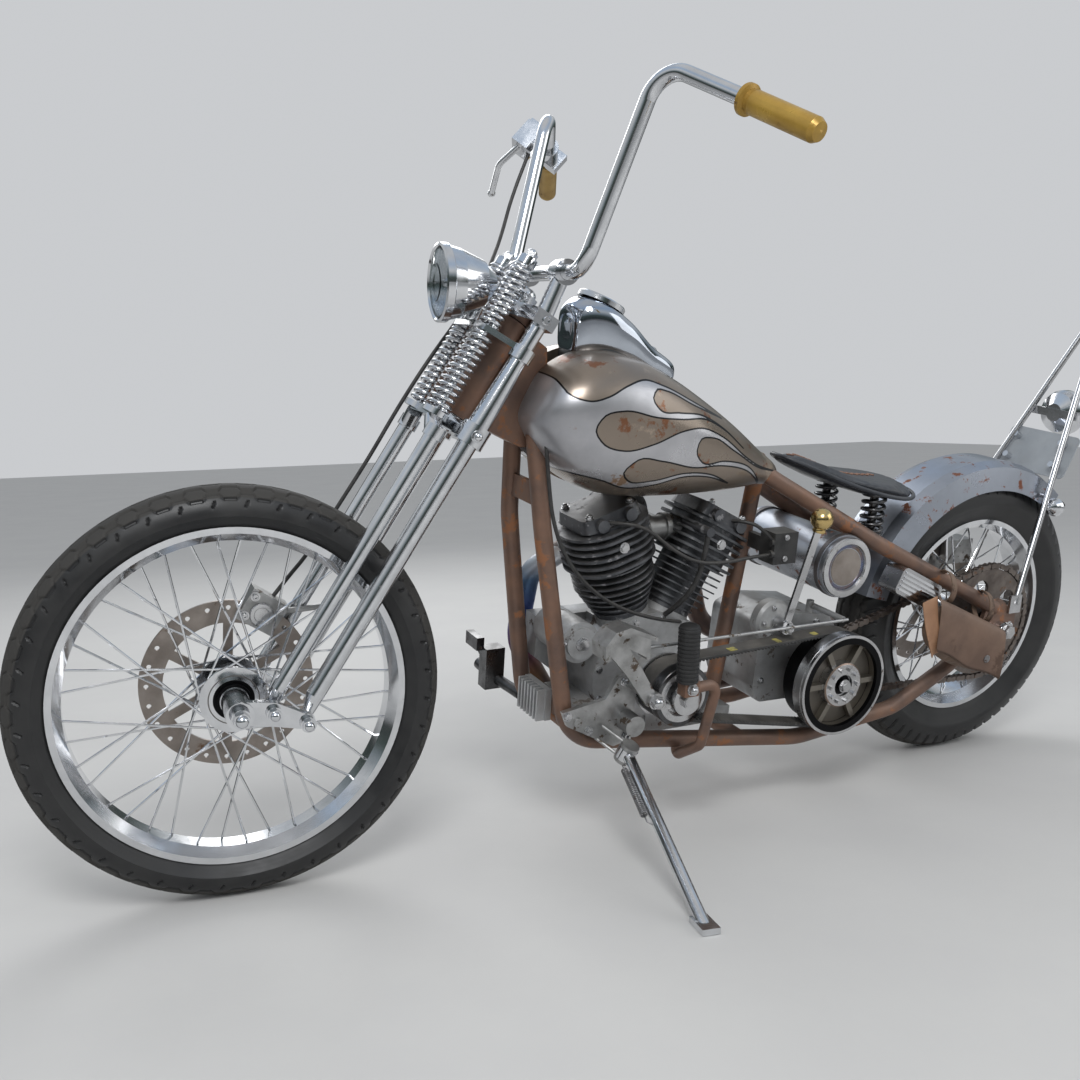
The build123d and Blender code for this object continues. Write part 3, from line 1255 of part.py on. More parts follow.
# Tail lamp on a bar between the sissy bar's legs, with a small marker on each leg
LAMP_SHARE = 0.632
MARKER_SHARE = 0.32
MARKER_R = 20.0
MARKER_BOWL = ((0, 0), (6, 0), (6, 10), (MARKER_R - 3, 16), (MARKER_R, 26), (MARKER_R, 34), (14, 46), (0, 50))
with BuildPart() as tail_lamp:
    lamp_x, lamp_y, lamp_z = sissy_at(LAMP_SHARE)
    back = Plane(origin=(lamp_x - SISSY_D / 2 - 4, 0, lamp_z), x_dir=(0, 1, 0), z_dir=(-1, 0, 0))
    bowl = ((0, 0), (20, 0), (44, 12), (50, 26), (50, 44), (46, 46), (44, 44), (0, 52))
    ring(bowl, back)
    with Locations((lamp_x - SISSY_D / 2 - SEAT_GAP - 2, 0, lamp_z)):
        Box(4, 2 * lamp_y + 18, 18)
    for side in (1, -1):
        x, y, z = sissy_at(MARKER_SHARE, side)
        marker = Plane(origin=(x - SISSY_D / 2 - SEAT_GAP, y, z), x_dir=(0, 1, 0), z_dir=(-1, 0, 0))
        ring(MARKER_BOWL, marker)
    add(sissy_bar.part, mode=Mode.SUBTRACT)
FRAME_PIECES.append((tail_lamp, "tail_lamp"))

with BuildPart() as rear_caliper:
    with Locations((-60, -REAR_DISC_Y, REAR_TYRE_R + REAR_DISC_R - 30)):
        Box(80, 46, 56)
    room = DISC_T / 2 + 2
    across(0, REAR_TYRE_R, REAR_DISC_R + 3, -REAR_DISC_Y - room, -REAR_DISC_Y + room, mode=Mode.SUBTRACT)
    # carrier out to the axle plate
    slab([(-96, 424), (-96, 458), (-34, 458), (0, 388), (0, 346), (-42, 346), (-58, 404)],
         -REAR_DISC_Y - 20, -REAR_DISC_Y - 28)
    across(-20, 368, 13, -REAR_DISC_Y - 26, -PLATE_Y + PLATE_T / 2 + SEAT_GAP)
FRAME_PIECES.append((rear_caliper, "rear_caliper"))

# Side stand, deployed, its foot cut flat on the road
with BuildPart() as side_stand:
    bar([STAND_PIVOT, STAND_FOOT], STAND_D)
    with Locations(Plane(origin=STAND_PIVOT, z_dir=STAND_AXIS)):
        Cylinder(EYE_R, 2 * EYE_HALF)
        Cylinder(STAND_PIN / 2 + SEAT_GAP, 3 * EYE_HALF, mode=Mode.SUBTRACT)
    with Locations(Plane(origin=Vector(*STAND_FOOT) + ROAD.z_dir * 4, x_dir=STAND_WAY, z_dir=ROAD.z_dir)):
        Box(52, 30, 10)
    split(bisect_by=ROAD, keep=Keep.TOP)
STAND_PIECES.append((side_stand, "side_stand"))



def bend_radii(points):
    """The radius of each inner bend: the largest that leaves a straight piece in every run."""
    radii = []
    for before, here, after in zip(points, points[1:], points[2:]):
        arriving = Vector(*here) - Vector(*before)
        leaving = Vector(*after) - Vector(*here)
        half_turn = radians(arriving.get_angle(leaving)) / 2
        radii.append(round(0.45 * min(arriving.length, leaving.length) / tan(half_turn), 1))
    return radii


def flexible(points, diameter, ends):
    """A line along its route, cut off flush where it enters the pieces at its ends."""
    bar(points, diameter, bend_radii(points))
    for piece in ends:
        add(piece.part, mode=Mode.SUBTRACT)


with BuildPart() as spark_leads:
    flexible(FRONT_LEAD, LEAD_D, ())
    flexible(REAR_LEAD, LEAD_D, (heads, ignition_coil))
FRAME_PIECES.append((spark_leads, "spark_leads"))

with BuildPart() as control_cable:
    flexible(CONTROL_CABLE, LEAD_D, (tank_left, crankcase))
FRAME_PIECES.append((control_cable, "control_cable"))

with BuildPart() as oil_hose:
    flexible(OIL_HOSE, HOSE_D, (heads, crankcase))
FRAME_PIECES.append((oil_hose, "oil_hose"))

with BuildPart() as brake_hose:
    flexible(BRAKE_HOSE, LEAD_D, (brake_lever, front_caliper))
FORK_PIECES.append((brake_hose, "brake_hose"))

# Placing: the fork turns to its resting angle, then the whole machine leans and is centred on the road
placed = []
for pieces, place in (
    (FRAME_PIECES, PARK),
    (REAR_WHEEL_PIECES, PARK),
    (STAND_PIECES, PARK),
    (FORK_PIECES, PARK * STEERED),
    (FRONT_WHEEL_PIECES, PARK * STEERED),
):
    for builder, name in pieces:
        solid = builder.part.moved(place)
        solid.label = name
        placed.append(solid)

boxes = [solid.bounding_box() for solid in placed]
low = Vector(min(b.min.X for b in boxes), min(b.min.Y for b in boxes), min(b.min.Z for b in boxes))
high = Vector(max(b.max.X for b in boxes), max(b.max.Y for b in boxes), max(b.max.Z for b in boxes))
CENTRE = Location((-(low.X + high.X) / 2, -(low.Y + high.Y) / 2, -low.Z))

os.makedirs("parts", exist_ok=True)
for solid in placed:
    export_step(solid.moved(CENTRE), f"parts/{solid.label}.step")


def report(name, point, way, place=PARK):
    """Print a joint's or mount's place and axis, in metres, in the parked frame."""
    start = (CENTRE * place * Location(Vector(*point))).position
    end = (CENTRE * place * Location(Vector(*point) + Vector(*way))).position
    axis = end - start
    print(f"{name}: at {start.X / 1000:.6f} {start.Y / 1000:.6f} {start.Z / 1000:.6f}",
          f"axis {axis.X:.6f} {axis.Y:.6f} {axis.Z:.6f}")


report("steering", FORK_FOOT + FORK_UP * (LOWER_TREE_S + TOP_TREE_S) / 2, FORK_UP)
report("front_axle", (AXLE_LEAD, 0, 0), (0, 1, 0), PARK * STEERED)
report("rear_axle", (0, 0, REAR_TYRE_R), (0, 1, 0))
report("side_stand", STAND_PIVOT, STAND_AXIS)
print(f"stand swing {STAND_SWING:.2f}")
print(f"steering from {-STEER_STOP - STEER_REST:.2f} to {STEER_STOP - STEER_REST:.2f}")
for name, route in (("front_lead", FRONT_LEAD), ("rear_lead", REAR_LEAD), ("control_cable", CONTROL_CABLE),
                    ("oil_hose", OIL_HOSE), ("brake_hose", BRAKE_HOSE)):
    print(f"{name}: radii {bend_radii(route)}")
print(f"overall {high.X - low.X:.1f} by {high.Y - low.Y:.1f} by {high.Z - low.Z:.1f}")
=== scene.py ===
import json
import logging
import math
from dataclasses import dataclass, field, replace
from enum import Enum
from functools import cache
from typing import Sequence

import bpy
import numpy as np
from mathutils import Matrix, Vector


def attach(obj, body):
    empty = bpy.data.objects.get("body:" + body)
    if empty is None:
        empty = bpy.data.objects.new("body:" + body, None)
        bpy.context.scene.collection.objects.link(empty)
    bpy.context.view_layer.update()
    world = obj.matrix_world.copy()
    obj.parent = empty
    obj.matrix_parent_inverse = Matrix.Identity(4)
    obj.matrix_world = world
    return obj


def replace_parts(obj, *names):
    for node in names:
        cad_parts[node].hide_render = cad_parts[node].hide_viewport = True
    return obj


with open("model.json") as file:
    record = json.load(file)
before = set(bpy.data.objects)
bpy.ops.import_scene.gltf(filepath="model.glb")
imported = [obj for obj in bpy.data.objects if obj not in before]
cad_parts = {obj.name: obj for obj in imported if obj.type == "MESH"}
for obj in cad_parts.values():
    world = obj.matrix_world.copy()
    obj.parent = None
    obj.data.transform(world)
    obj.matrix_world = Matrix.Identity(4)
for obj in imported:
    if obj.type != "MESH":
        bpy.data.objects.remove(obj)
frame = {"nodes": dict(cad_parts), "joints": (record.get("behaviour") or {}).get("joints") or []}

logging.basicConfig(level=logging.INFO, format="%(message)s")
LOG = logging.getLogger("motorcycle")

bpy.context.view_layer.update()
MM = 0.001
TINY = 1e-6
Array = np.ndarray
Colour = tuple[float, float, float]
Point = Sequence[float]
Feeds = dict[str | int, object]

LEFT, RIGHT, UP, REAR = (0, 1, 0), (0, -1, 0), (0, 0, 1), (-1, 0, 0)
FLAT, ALL_SMOOTH = 0, 180


def turn(axis: Point, degrees: float) -> Array:
    """The 3 by 3 matrix that turns a vector about an axis by an angle, by the right-hand rule."""
    x, y, z = np.asarray(axis, float) / np.linalg.norm(axis)
    cross = np.array([[0, -z, y], [z, 0, -x], [-y, x, 0]])
    angle = math.radians(degrees)
    return np.eye(3) + math.sin(angle) * cross + (1 - math.cos(angle)) * cross @ cross


@dataclass(frozen=True)
class Stance:
    """Where the upright drawing of the machine comes to stand, leaned and with the wheel turned."""

    wheelbase: float = 1625.0
    rake: float = 31.8
    axle_lead: float = 78.0
    lean: float = 9.5
    steer: float = -8.6
    front_radius: float = 345.0
    front_width: float = 90.0
    rear_radius: float = 325.0
    rear_width: float = 126.0

    @property
    def fork_axes(self) -> Array:
        """The fork's own axes as rows: ahead, left and up the steering axis."""
        rake = math.radians(self.rake)
        return np.array([[math.cos(rake), 0, math.sin(rake)], LEFT, [-math.sin(rake), 0, math.cos(rake)]])

    @property
    def leaned(self) -> Array:
        """The matrix of the parked machine: its lean and the small pitch that sets both tyres on the road."""
        lean = turn((1, 0, 0), -self.lean)
        marks = np.array([(0, 0, 0), LEFT, (self.axle_lead, 0, 0)], float)
        fork_foot, left, hub = self.upright(marks) @ lean.T
        front_low = hub[2] - self.drop(self.front_radius, self.front_width, (left - fork_foot)[2])
        return turn(LEFT, math.degrees((front_low - self.rear_low) / self.wheelbase)) @ lean

    @property
    def rear_low(self) -> float:
        """The height of the leaned rear tyre's lowest point."""
        lean = math.radians(self.lean)
        below = self.drop(self.rear_radius, self.rear_width, -math.sin(lean))
        return self.rear_radius * math.cos(lean) - below

    @staticmethod
    def drop(radius: float, width: float, lean_sine: float) -> float:
        """How far a leaned tyre's lowest point lies below its centre."""
        return (radius - width / 2) * math.sqrt(1 - lean_sine**2) + width / 2

    def upright(self, points: Array) -> Array:
        """Points of the fork's frame (ahead, left, up the axis) in the upright machine's frame."""
        axes = self.fork_axes
        foot = np.array([self.wheelbase, 0, self.front_radius]) - axes[0] * self.axle_lead
        return foot + points @ turn(UP, self.steer).T @ axes

    def park(self, points: Array) -> Array:
        """Points of the upright machine, in millimetres, in the parked frame, in metres."""
        places = {joint["name"]: joint["pos_m"] for joint in frame["joints"]}
        rear = np.array(places["rear_wheel_spin"])
        hub = self.leaned @ np.array([0, 0, self.rear_radius])
        return (np.asarray(points, float) @ self.leaned.T - hub) * MM + rear

    def fork(self, points: Array) -> Array:
        """Points of the fork's frame, in millimetres, in the parked frame, in metres."""
        return self.park(self.upright(np.asarray(points, float)))


STANCE = Stance()


class Placing(Enum):
    """Which drawing frame a shape's points are given in."""

    MACHINE = "machine"
    FORK = "fork"
    PARKED = "parked"


def placed(points: Array, placing: Placing) -> Array:
    """Points in millimetres moved from their drawing frame to the parked frame, in metres."""
    if placing is Placing.PARKED:
        return points * MM
    return STANCE.park(points) if placing is Placing.MACHINE else STANCE.fork(points)


class Net:
    """A node tree being wired: one call makes a node, sets it up and feeds its sockets."""

    def __init__(self, tree: bpy.types.NodeTree) -> None:
        """Work on one tree."""
        self.tree = tree

    def add(self, kind: str, feeds: Feeds | None = None, **settings: object) -> bpy.types.Node:
        """A new node.

        Args:
            kind: Its type, without the prefix that all have.
            feeds: For each input, the output that feeds it or the value it is set to.
            settings: The node's own settings.

        Returns:
            The node.
        """
        node = self.tree.nodes.new(f"ShaderNode{kind}")
        for name, value in settings.items():
            setattr(node, name, value)
        for name, source in (feeds or {}).items():
            self.feed(node.inputs[name], source)
        return node

    def feed(self, socket: bpy.types.NodeSocket, source: object) -> None:
        """Feed an input from an output, or set it to a value."""
        if isinstance(source, bpy.types.NodeSocket):
            self.tree.links.new(source, socket)
        else:
            socket.default_value = source

    def math(self, operation: str, first: object, second: object = 0.0) -> bpy.types.NodeSocket:
        """The result of a sum on two values."""
        return self.add("Math", {0: first, 1: second}, operation=operation).outputs[0]

    def vector(self, operation: str, feeds: Feeds, result: str = "Vector") -> bpy.types.NodeSocket:
        """The result of a sum on vectors."""
        return self.add("VectorMath", feeds, operation=operation).outputs[result]

    def noise(self, place: object, scale: object, detail: float, rough: float = 0.5) -> bpy.types.NodeSocket:
        """A noise between nought and one."""
        feeds = {"Vector": place, "Scale": scale, "Detail": detail, "Roughness": rough}
        return self.add("TexNoise", feeds).outputs["Fac"]

    def ranged(self, value: object, low: object, high: object, start: float = 0.0, end: float = 1.0,
               **settings: object) -> bpy.types.NodeSocket:
        """A value that runs from start to end while another goes from low to high."""
        feeds = {"Value": value, "From Min": low, "From Max": high, "To Min": start, "To Max": end}
        return self.add("MapRange", feeds, **settings).outputs["Result"]

    def mix(self, first: object, second: object, share: object) -> bpy.types.NodeSocket:
        """A colour between two, by a share; a colour of three numbers stands for itself."""
        tones = ((*tone, 1) if isinstance(tone, tuple) else tone for tone in (first, second))
        feeds = dict(zip("AB", tones)) | {"Factor": share}
        return self.add("Mix", feeds, data_type="RGBA").outputs["Result"]

    def blend(self, first: object, second: object, share: object) -> bpy.types.NodeSocket:
        """A value between two, by a share."""
        return self.add("Mix", {"A": first, "B": second, "Factor": share}).outputs["Result"]

    def ramp(self, value: object, stops: Sequence[tuple[float, Colour]]) -> bpy.types.NodeSocket:
        """A colour that runs through stops, each a place and its colour."""
        node = self.add("ValToRGB", {"Fac": value})
        for index, (at, tone) in enumerate(stops):
            stop = node.color_ramp.elements[0] if index == 0 else node.color_ramp.elements.new(at)
            stop.position, stop.color = at, (*tone, 1)
        return node.outputs["Color"]

    def grain(self, shader: bpy.types.Node, height: object, strength: float, size: float) -> None:
        """Roughen a shader's surface by a height."""
        bump = self.add("Bump", {"Strength": strength, "Distance": size, "Height": height})
        self.feed(shader.inputs["Normal"], bump.outputs["Normal"])

    def cover(self, shader: bpy.types.Node, mask: object, colour: object, rough: float | None = None) -> None:
        """Lay a colour, and a roughness if one is given, over a shader's own where the mask is one."""
        base = shader.inputs["Base Color"]
        self.feed(base, self.mix(base.links[0].from_socket, colour, mask))
        if rough is not None:
            old = shader.inputs["Roughness"]
            self.feed(old, self.blend(old.links[0].from_socket, rough, mask))


class Group(Net):
    """A shader group that hands on masks and values only."""

    def __init__(self, name: str, values: dict[str, float | None], results: Sequence[str]) -> None:
        """A group whose inputs are values with a default, or vectors where the default is None."""
        super().__init__(bpy.data.node_groups.new(name, "ShaderNodeTree"))
        for label, value in values.items():
            kind = "NodeSocketVector" if value is None else "NodeSocketFloat"
            socket = self.tree.interface.new_socket(label, in_out="INPUT", socket_type=kind)
            if value is not None:
                socket.default_value = value
        for label in results:
            self.tree.interface.new_socket(label, in_out="OUTPUT", socket_type="NodeSocketFloat")
        self.given = self.tree.nodes.new("NodeGroupInput").outputs
        self.place = self.add("TexCoord").outputs["Object"]

    def done(self, **results: bpy.types.NodeSocket) -> bpy.types.NodeTree:
        """The finished tree, which hands on these results."""
        out = self.tree.nodes.new("NodeGroupOutput")
        for name, source in results.items():
            self.feed(out.inputs[name], source)
        return self.tree


class Shaders:
    """The shader groups that several finishes share, each made once."""

    def __init__(self) -> None:
        """Make every group."""
        self.mottle = self._mottle()
        self.spots = self._spots()
        self.dust = self._dust()
        self.about = self._about()
        self.ring = self._ring()

    def _about(self) -> bpy.types.NodeTree:
        """A point's distance from an axis and its height along it."""
        net = Group("about_axis", {"Centre": None, "Axis": None}, ("Radius", "Height"))
        away = net.vector("SUBTRACT", {0: net.place, 1: net.given["Centre"]})
        height = net.vector("DOT_PRODUCT", {0: away, 1: net.given["Axis"]}, "Value")
        along = net.vector("SCALE", {0: net.given["Axis"], "Scale": height})
        across = net.vector("SUBTRACT", {0: away, 1: along})
        return net.done(Radius=net.vector("LENGTH", {0: across}, "Value"), Height=height)

    def _ring(self) -> bpy.types.NodeTree:
        """One inside a ring's section, nought outside, with a soft edge half a millimetre wide."""
        soft = 0.00025
        values = dict.fromkeys(("Radius", "Height", "Inner", "Outer", "Low", "High"), 0.0)
        net = Group("ring", values, ("Mask",))
        mask = None
        for above, below in (("Radius", "Inner"), ("Outer", "Radius"), ("Height", "Low"), ("High", "Height")):
            step = net.ranged(net.math("SUBTRACT", net.given[above], net.given[below]), -soft, soft)
            mask = step if mask is None else net.math("MULTIPLY", mask, step)
        return net.done(Mask=mask)

    def _mottle(self) -> bpy.types.NodeTree:
        """Slow and fine noise, for uneven colour, roughness and a light grain."""
        net = Group("mottle", {"Scale": 20.0, "Fine": 6.0}, ("Slow", "Grain"))
        finer = net.math("MULTIPLY", net.given["Scale"], net.given["Fine"])
        slow = net.noise(net.place, net.given["Scale"], 5.0, 0.6)
        return net.done(Slow=slow, Grain=net.noise(net.place, finer, 3.0))

    def _spots(self) -> bpy.types.NodeTree:
        """Patches where a noise passes a level, such as rust, with a soft edge."""
        net = Group("spots", {"Scale": 14.0, "Level": 0.6, "Edge": 0.06}, ("Mask",))
        noise = net.noise(net.place, net.given["Scale"], 8.0, 0.65)
        high = net.math("ADD", net.given["Level"], net.given["Edge"])
        return net.done(Mask=net.ranged(noise, net.given["Level"], high, interpolation_type="SMOOTHSTEP"))

    def _dust(self) -> bpy.types.NodeTree:
        """Dust that lies on what faces up, broken by noise."""
        net = Group("dust", {"Amount": 0.5, "Scale": 30.0}, ("Mask",))
        facing = net.add("SeparateXYZ", {0: net.add("NewGeometry").outputs["Normal"]}).outputs["Z"]
        broken = net.noise(net.place, net.given["Scale"], 4.0)
        lying = net.math("MULTIPLY", net.ranged(facing, -0.2, 1.0), broken)
        mask = net.add("Math", {0: lying, 1: net.given["Amount"]}, operation="MULTIPLY", use_clamp=True)
        return net.done(Mask=mask.outputs[0])


SHADERS = Shaders()


def blank_material(name: str, **values: object) -> tuple[bpy.types.Material, Net, bpy.types.Node]:
    """A new material, its net and its shader, with some of the shader's sockets set; _ stands for a space."""
    material = bpy.data.materials.new(name)
    material.use_nodes = True
    shader = material.node_tree.nodes["Principled BSDF"]
    for label, value in values.items():
        shader.inputs[label.replace("_", " ")].default_value = value
    return material, Net(material.node_tree), shader


def reopened(material: bpy.types.Material, name: str) -> tuple[Net, bpy.types.Node]:
    """A finish's new material under another name, to be changed: its net and its shader."""
    material.name = name
    return Net(material.node_tree), material.node_tree.nodes["Principled BSDF"]


@dataclass(frozen=True)
class Finish:
    """A surface: two tones, patches of another colour, dust, and how it shines.

    The base wanders between tone and second; patches lie where a noise passes patch_level.
    """

    name: str
    tone: Colour
    second: Colour
    metallic: float = 0.0
    rough: tuple[float, float] = (0.4, 0.6)
    scale: float = 20.0
    patch: Colour | None = None
    patch_level: float = 0.62
    patch_scale: float = 14.0
    patch_rough: float = 0.85
    dust: float = 0.0
    dust_colour: Colour = (0.42, 0.38, 0.32)
    dust_rough: float = 0.9
    bump: float = 0.1
    bump_size: float = 0.0004
    coat: float = 0.0

    @cache
    def material(self) -> bpy.types.Material:
        """The finish as a material, made once."""
        return self.make()

    def make(self) -> bpy.types.Material:
        """Wire the tones, patches, dust and grain into one shader."""
        material, net, shader = blank_material(self.name, Metallic=self.metallic, Coat_Weight=self.coat)
        mottle = net.add("Group", {"Scale": self.scale}, node_tree=SHADERS.mottle).outputs
        share = net.ranged(mottle["Slow"], 0.35, 0.65)
        net.feed(shader.inputs["Base Color"], net.mix(self.tone, self.second, share))
        net.feed(shader.inputs["Roughness"], net.ranged(share, 0, 1, *self.rough))
        if self.patch is not None:
            mask = self.spots(net, self.patch_scale, self.patch_level)
            net.cover(shader, mask, self.patch, self.patch_rough)
        if self.dust > 0:
            mask = net.add("Group", {"Amount": self.dust}, node_tree=SHADERS.dust).outputs["Mask"]
            net.cover(shader, mask, self.dust_colour, self.dust_rough)
        if self.bump > 0:
            net.grain(shader, mottle["Grain"], self.bump, self.bump_size)
        return material

    @staticmethod
    def spots(net: Net, scale: float, level: float) -> bpy.types.NodeSocket:
        """The mask of patches of a size and a level."""
        return net.add("Group", {"Scale": scale, "Level": level}, node_tree=SHADERS.spots).outputs["Mask"]


CHROME = Finish(
    "chrome_plate", (0.74, 0.75, 0.77), (0.63, 0.64, 0.66), 1.0, (0.06, 0.15), 24,
    (0.27, 0.20, 0.15), 0.69, 60, dust=0.22, bump=0.02,
)
DULL_CHROME = Finish(
    "dull_pitted_chrome", (0.34, 0.34, 0.35), (0.22, 0.21, 0.21), 1.0, (0.2, 0.38), 22,
    (0.13, 0.09, 0.07), 0.58, 50, dust=0.3, bump=0.08,
)
DASH_CHROME = Finish(
    "smoky_dash_chrome", (0.50, 0.54, 0.60), (0.42, 0.45, 0.50), 1.0, (0.05, 0.12), 12,
    (0.20, 0.18, 0.17), 0.70, 40, bump=0.02,
)
RUSTY_TUBE = Finish(
    "bare_rusty_tube", (0.135, 0.088, 0.07), (0.235, 0.135, 0.092), 0.45, (0.36, 0.56), 12,
    (0.33, 0.155, 0.08), 0.57, 18, dust=0.2, bump=0.3,
)
SHEET_STEEL = Finish(
    "bare_sheet_steel", (0.46, 0.48, 0.52), (0.36, 0.375, 0.405), 0.9, (0.24, 0.4), 9,
    (0.27, 0.115, 0.07), 0.60, 17, dust=0.1, bump=0.06,
)
FENDER_STEEL = replace(
    SHEET_STEEL, name="freckled_fender_steel", tone=(0.40, 0.43, 0.49), second=(0.31, 0.335, 0.38),
    patch_level=0.575, patch_scale=30,
)
DARK_FINS = Finish(
    "dark_iron_fins", (0.055, 0.058, 0.065), (0.125, 0.13, 0.14), 0.6, (0.3, 0.5), 25,
    (0.32, 0.32, 0.33), 0.585, 45, dust=0.25, bump=0.2,
)
CAST_CASE = Finish(
    "dusty_cast_aluminium", (0.50, 0.51, 0.52), (0.34, 0.34, 0.34), 0.7, (0.36, 0.6), 16,
    (0.14, 0.115, 0.10), 0.60, 22, dust=0.4, bump=0.35,
)
BRIGHT_ALLOY = Finish(
    "polished_aluminium", (0.62, 0.62, 0.63), (0.45, 0.45, 0.455), 1.0, (0.16, 0.32), 18,
    (0.19, 0.165, 0.15), 0.63, 34, dust=0.2, bump=0.08,
)
BLUED_PIPE = Finish(
    "heat_browned_pipe", (0.22, 0.15, 0.12), (0.12, 0.09, 0.085), 0.75, (0.26, 0.45), 10,
    (0.30, 0.15, 0.09), 0.58, 24, dust=0.15, bump=0.15,
)
DISC_STEEL = Finish(
    "worn_disc_steel", (0.34, 0.30, 0.27), (0.25, 0.215, 0.19), 0.85, (0.28, 0.44), 20,
    (0.24, 0.15, 0.10), 0.62, 30, bump=0.1,
)
CHAIN_STEEL = Finish(
    "oiled_chain_steel", (0.12, 0.10, 0.09), (0.22, 0.19, 0.17), 0.85, (0.28, 0.5), 40,
    (0.25, 0.15, 0.10), 0.6, 60, bump=0.1,
)
TYRE_RUBBER = Finish(
    "black_tyre", (0.011, 0.011, 0.012), (0.022, 0.022, 0.022), 0.0, (0.36, 0.55), 14,
    dust=0.14, dust_colour=(0.10, 0.095, 0.085), bump=0.12,
)
BELT_RUBBER = Finish(
    "dusty_belt_rubber", (0.02, 0.02, 0.02), (0.05, 0.05, 0.05), 0.0, (0.5, 0.75), 30, dust=0.3, bump=0.2,
)
BLACK_PLASTIC = Finish(
    "black_moulding", (0.018, 0.018, 0.019), (0.04, 0.04, 0.04), 0.0, (0.3, 0.5), 40, dust=0.25, bump=0.1,
)
BLACK_SLEEVE = Finish(
    "black_cable_sleeve", (0.015, 0.015, 0.016), (0.035, 0.034, 0.033), 0.0, (0.35, 0.55), 60,
    dust=0.15, bump=0.1,
)
DARK_STEEL = Finish(
    "dark_spring_steel", (0.15, 0.15, 0.155), (0.07, 0.07, 0.072), 1.0, (0.2, 0.36), 26,
    (0.13, 0.09, 0.07), 0.62, 40, dust=0.15, bump=0.08,
)
SATIN_CHROME = Finish(
    "satin_chrome", (0.52, 0.52, 0.53), (0.42, 0.42, 0.43), 1.0, (0.16, 0.3), 18,
    (0.25, 0.21, 0.18), 0.66, 34, dust=0.2, bump=0.04,
)
WORN_ALLOY = Finish(
    "worn_cast_alloy", (0.46, 0.46, 0.46), (0.30, 0.30, 0.295), 0.9, (0.28, 0.48), 26,
    (0.15, 0.115, 0.09), 0.575, 38, dust=0.3, bump=0.25,
)
DIAL_BLACK = Finish(
    "dial_black", (0.012, 0.012, 0.013), (0.03, 0.03, 0.03), 0.0, (0.2, 0.35), 60, bump=0.05, coat=0.6,
)
PALE_MARK = Finish(
    "pale_mark", (0.60, 0.58, 0.50), (0.50, 0.48, 0.42), 0.0, (0.4, 0.55), 80, bump=0.05,
)
LACING = Finish(
    "tan_lacing", (0.30, 0.17, 0.12), (0.22, 0.12, 0.085), 0.0, (0.5, 0.7), 60, bump=0.3,
)
SEAT_HIDE = Finish(
    "black_seat_leather", (0.014, 0.017, 0.023), (0.032, 0.036, 0.045), 0.0, (0.3, 0.46), 22,
    dust=0.12, bump=0.35,
)
BAG_HIDE = Finish(
    "brown_bag_leather", (0.115, 0.072, 0.047), (0.19, 0.12, 0.082), 0.0, (0.5, 0.72), 12,
    (0.07, 0.042, 0.03), 0.56, 18, dust=0.22, bump=0.45,
)
PANEL_HIDE = Finish(
    "bag_panel_leather", (0.175, 0.105, 0.07), (0.115, 0.07, 0.05), 0.0, (0.5, 0.7), 10,
    (0.09, 0.052, 0.035), 0.58, 16, dust=0.2, bump=0.4,
)
TAN_HIDE = Finish(
    "tan_flap_leather", (0.34, 0.185, 0.10), (0.24, 0.125, 0.07), 0.0, (0.5, 0.7), 16,
    (0.12, 0.072, 0.045), 0.6, 22, bump=0.35,
)
GOLD_GRIP = Finish(
    "worn_gold_grip", (0.46, 0.29, 0.055), (0.33, 0.195, 0.035), 0.35, (0.26, 0.4), 20,
    (0.15, 0.09, 0.03), 0.64, 40, bump=0.15,
)
BRASS_KNOB = Finish(
    "brass_knob", (0.62, 0.46, 0.20), (0.46, 0.32, 0.13), 1.0, (0.18, 0.3), 30,
    (0.15, 0.10, 0.05), 0.58, 60, bump=0.12,
)


@dataclass(frozen=True)
class Band:
    """A ring of another colour on a turned part: its reach from the axis and along it, in millimetres."""

    inner: float
    outer: float
    low: float
    high: float
    colour: Colour
    rough: float = 0.6


def banded(finish: Finish, name: str, centre: Point, bands: Sequence[Band],
           placing: Placing = Placing.MACHINE) -> bpy.types.Material:
    """A finish with rings of other colours round an axis that runs to the machine's left.

    Args:
        finish: The finish that shows between the rings.
        name: The new material's name.
        centre: A point of the axis in its drawing frame, in millimetres.
        bands: The rings, later ones over earlier ones.
        placing: The drawing frame.

    Returns:
        The material.
    """
    material = finish.make()
    net, shader = reopened(material, name)
    ends = placed(np.array([centre, np.add(centre, LEFT)], float), placing)
    feeds = {"Centre": tuple(ends[0]), "Axis": tuple((ends[1] - ends[0]) / MM)}
    about = net.add("Group", feeds, node_tree=SHADERS.about).outputs
    for band in bands:
        reach = {"Inner": band.inner, "Outer": band.outer, "Low": band.low, "High": band.high}
        feeds = {label: value * MM for label, value in reach.items()}
        feeds |= {label: about[label] for label in ("Radius", "Height")}
        ring = net.add("Group", feeds, node_tree=SHADERS.ring).outputs["Mask"]
        net.cover(shader, ring, band.colour, band.rough)
    return material


def heated(finish: Finish, name: str, ahead_of: float,
           colours: Sequence[tuple[float, Colour]]) -> bpy.types.Material:
    """A pipe's finish whose front run carries heat colours that change with height.

    Args:
        finish: The finish of the rest.
        name: The new material's name.
        ahead_of: Where the front run starts, in metres along the parked machine.
        colours: Heights in metres and the colour at each.

    Returns:
        The material.
    """
    material = finish.make()
    net, shader = reopened(material, name)
    place = net.add("SeparateXYZ", {0: net.add("TexCoord").outputs["Object"]}).outputs
    low, high = colours[0][0], colours[-1][0]
    height = net.ranged(place["Z"], low, high)
    tint = net.ramp(height, [((level - low) / (high - low), tone) for level, tone in colours])
    blur = 0.03
    net.cover(shader, net.ranged(place["X"], ahead_of, ahead_of + blur), tint)
    return material


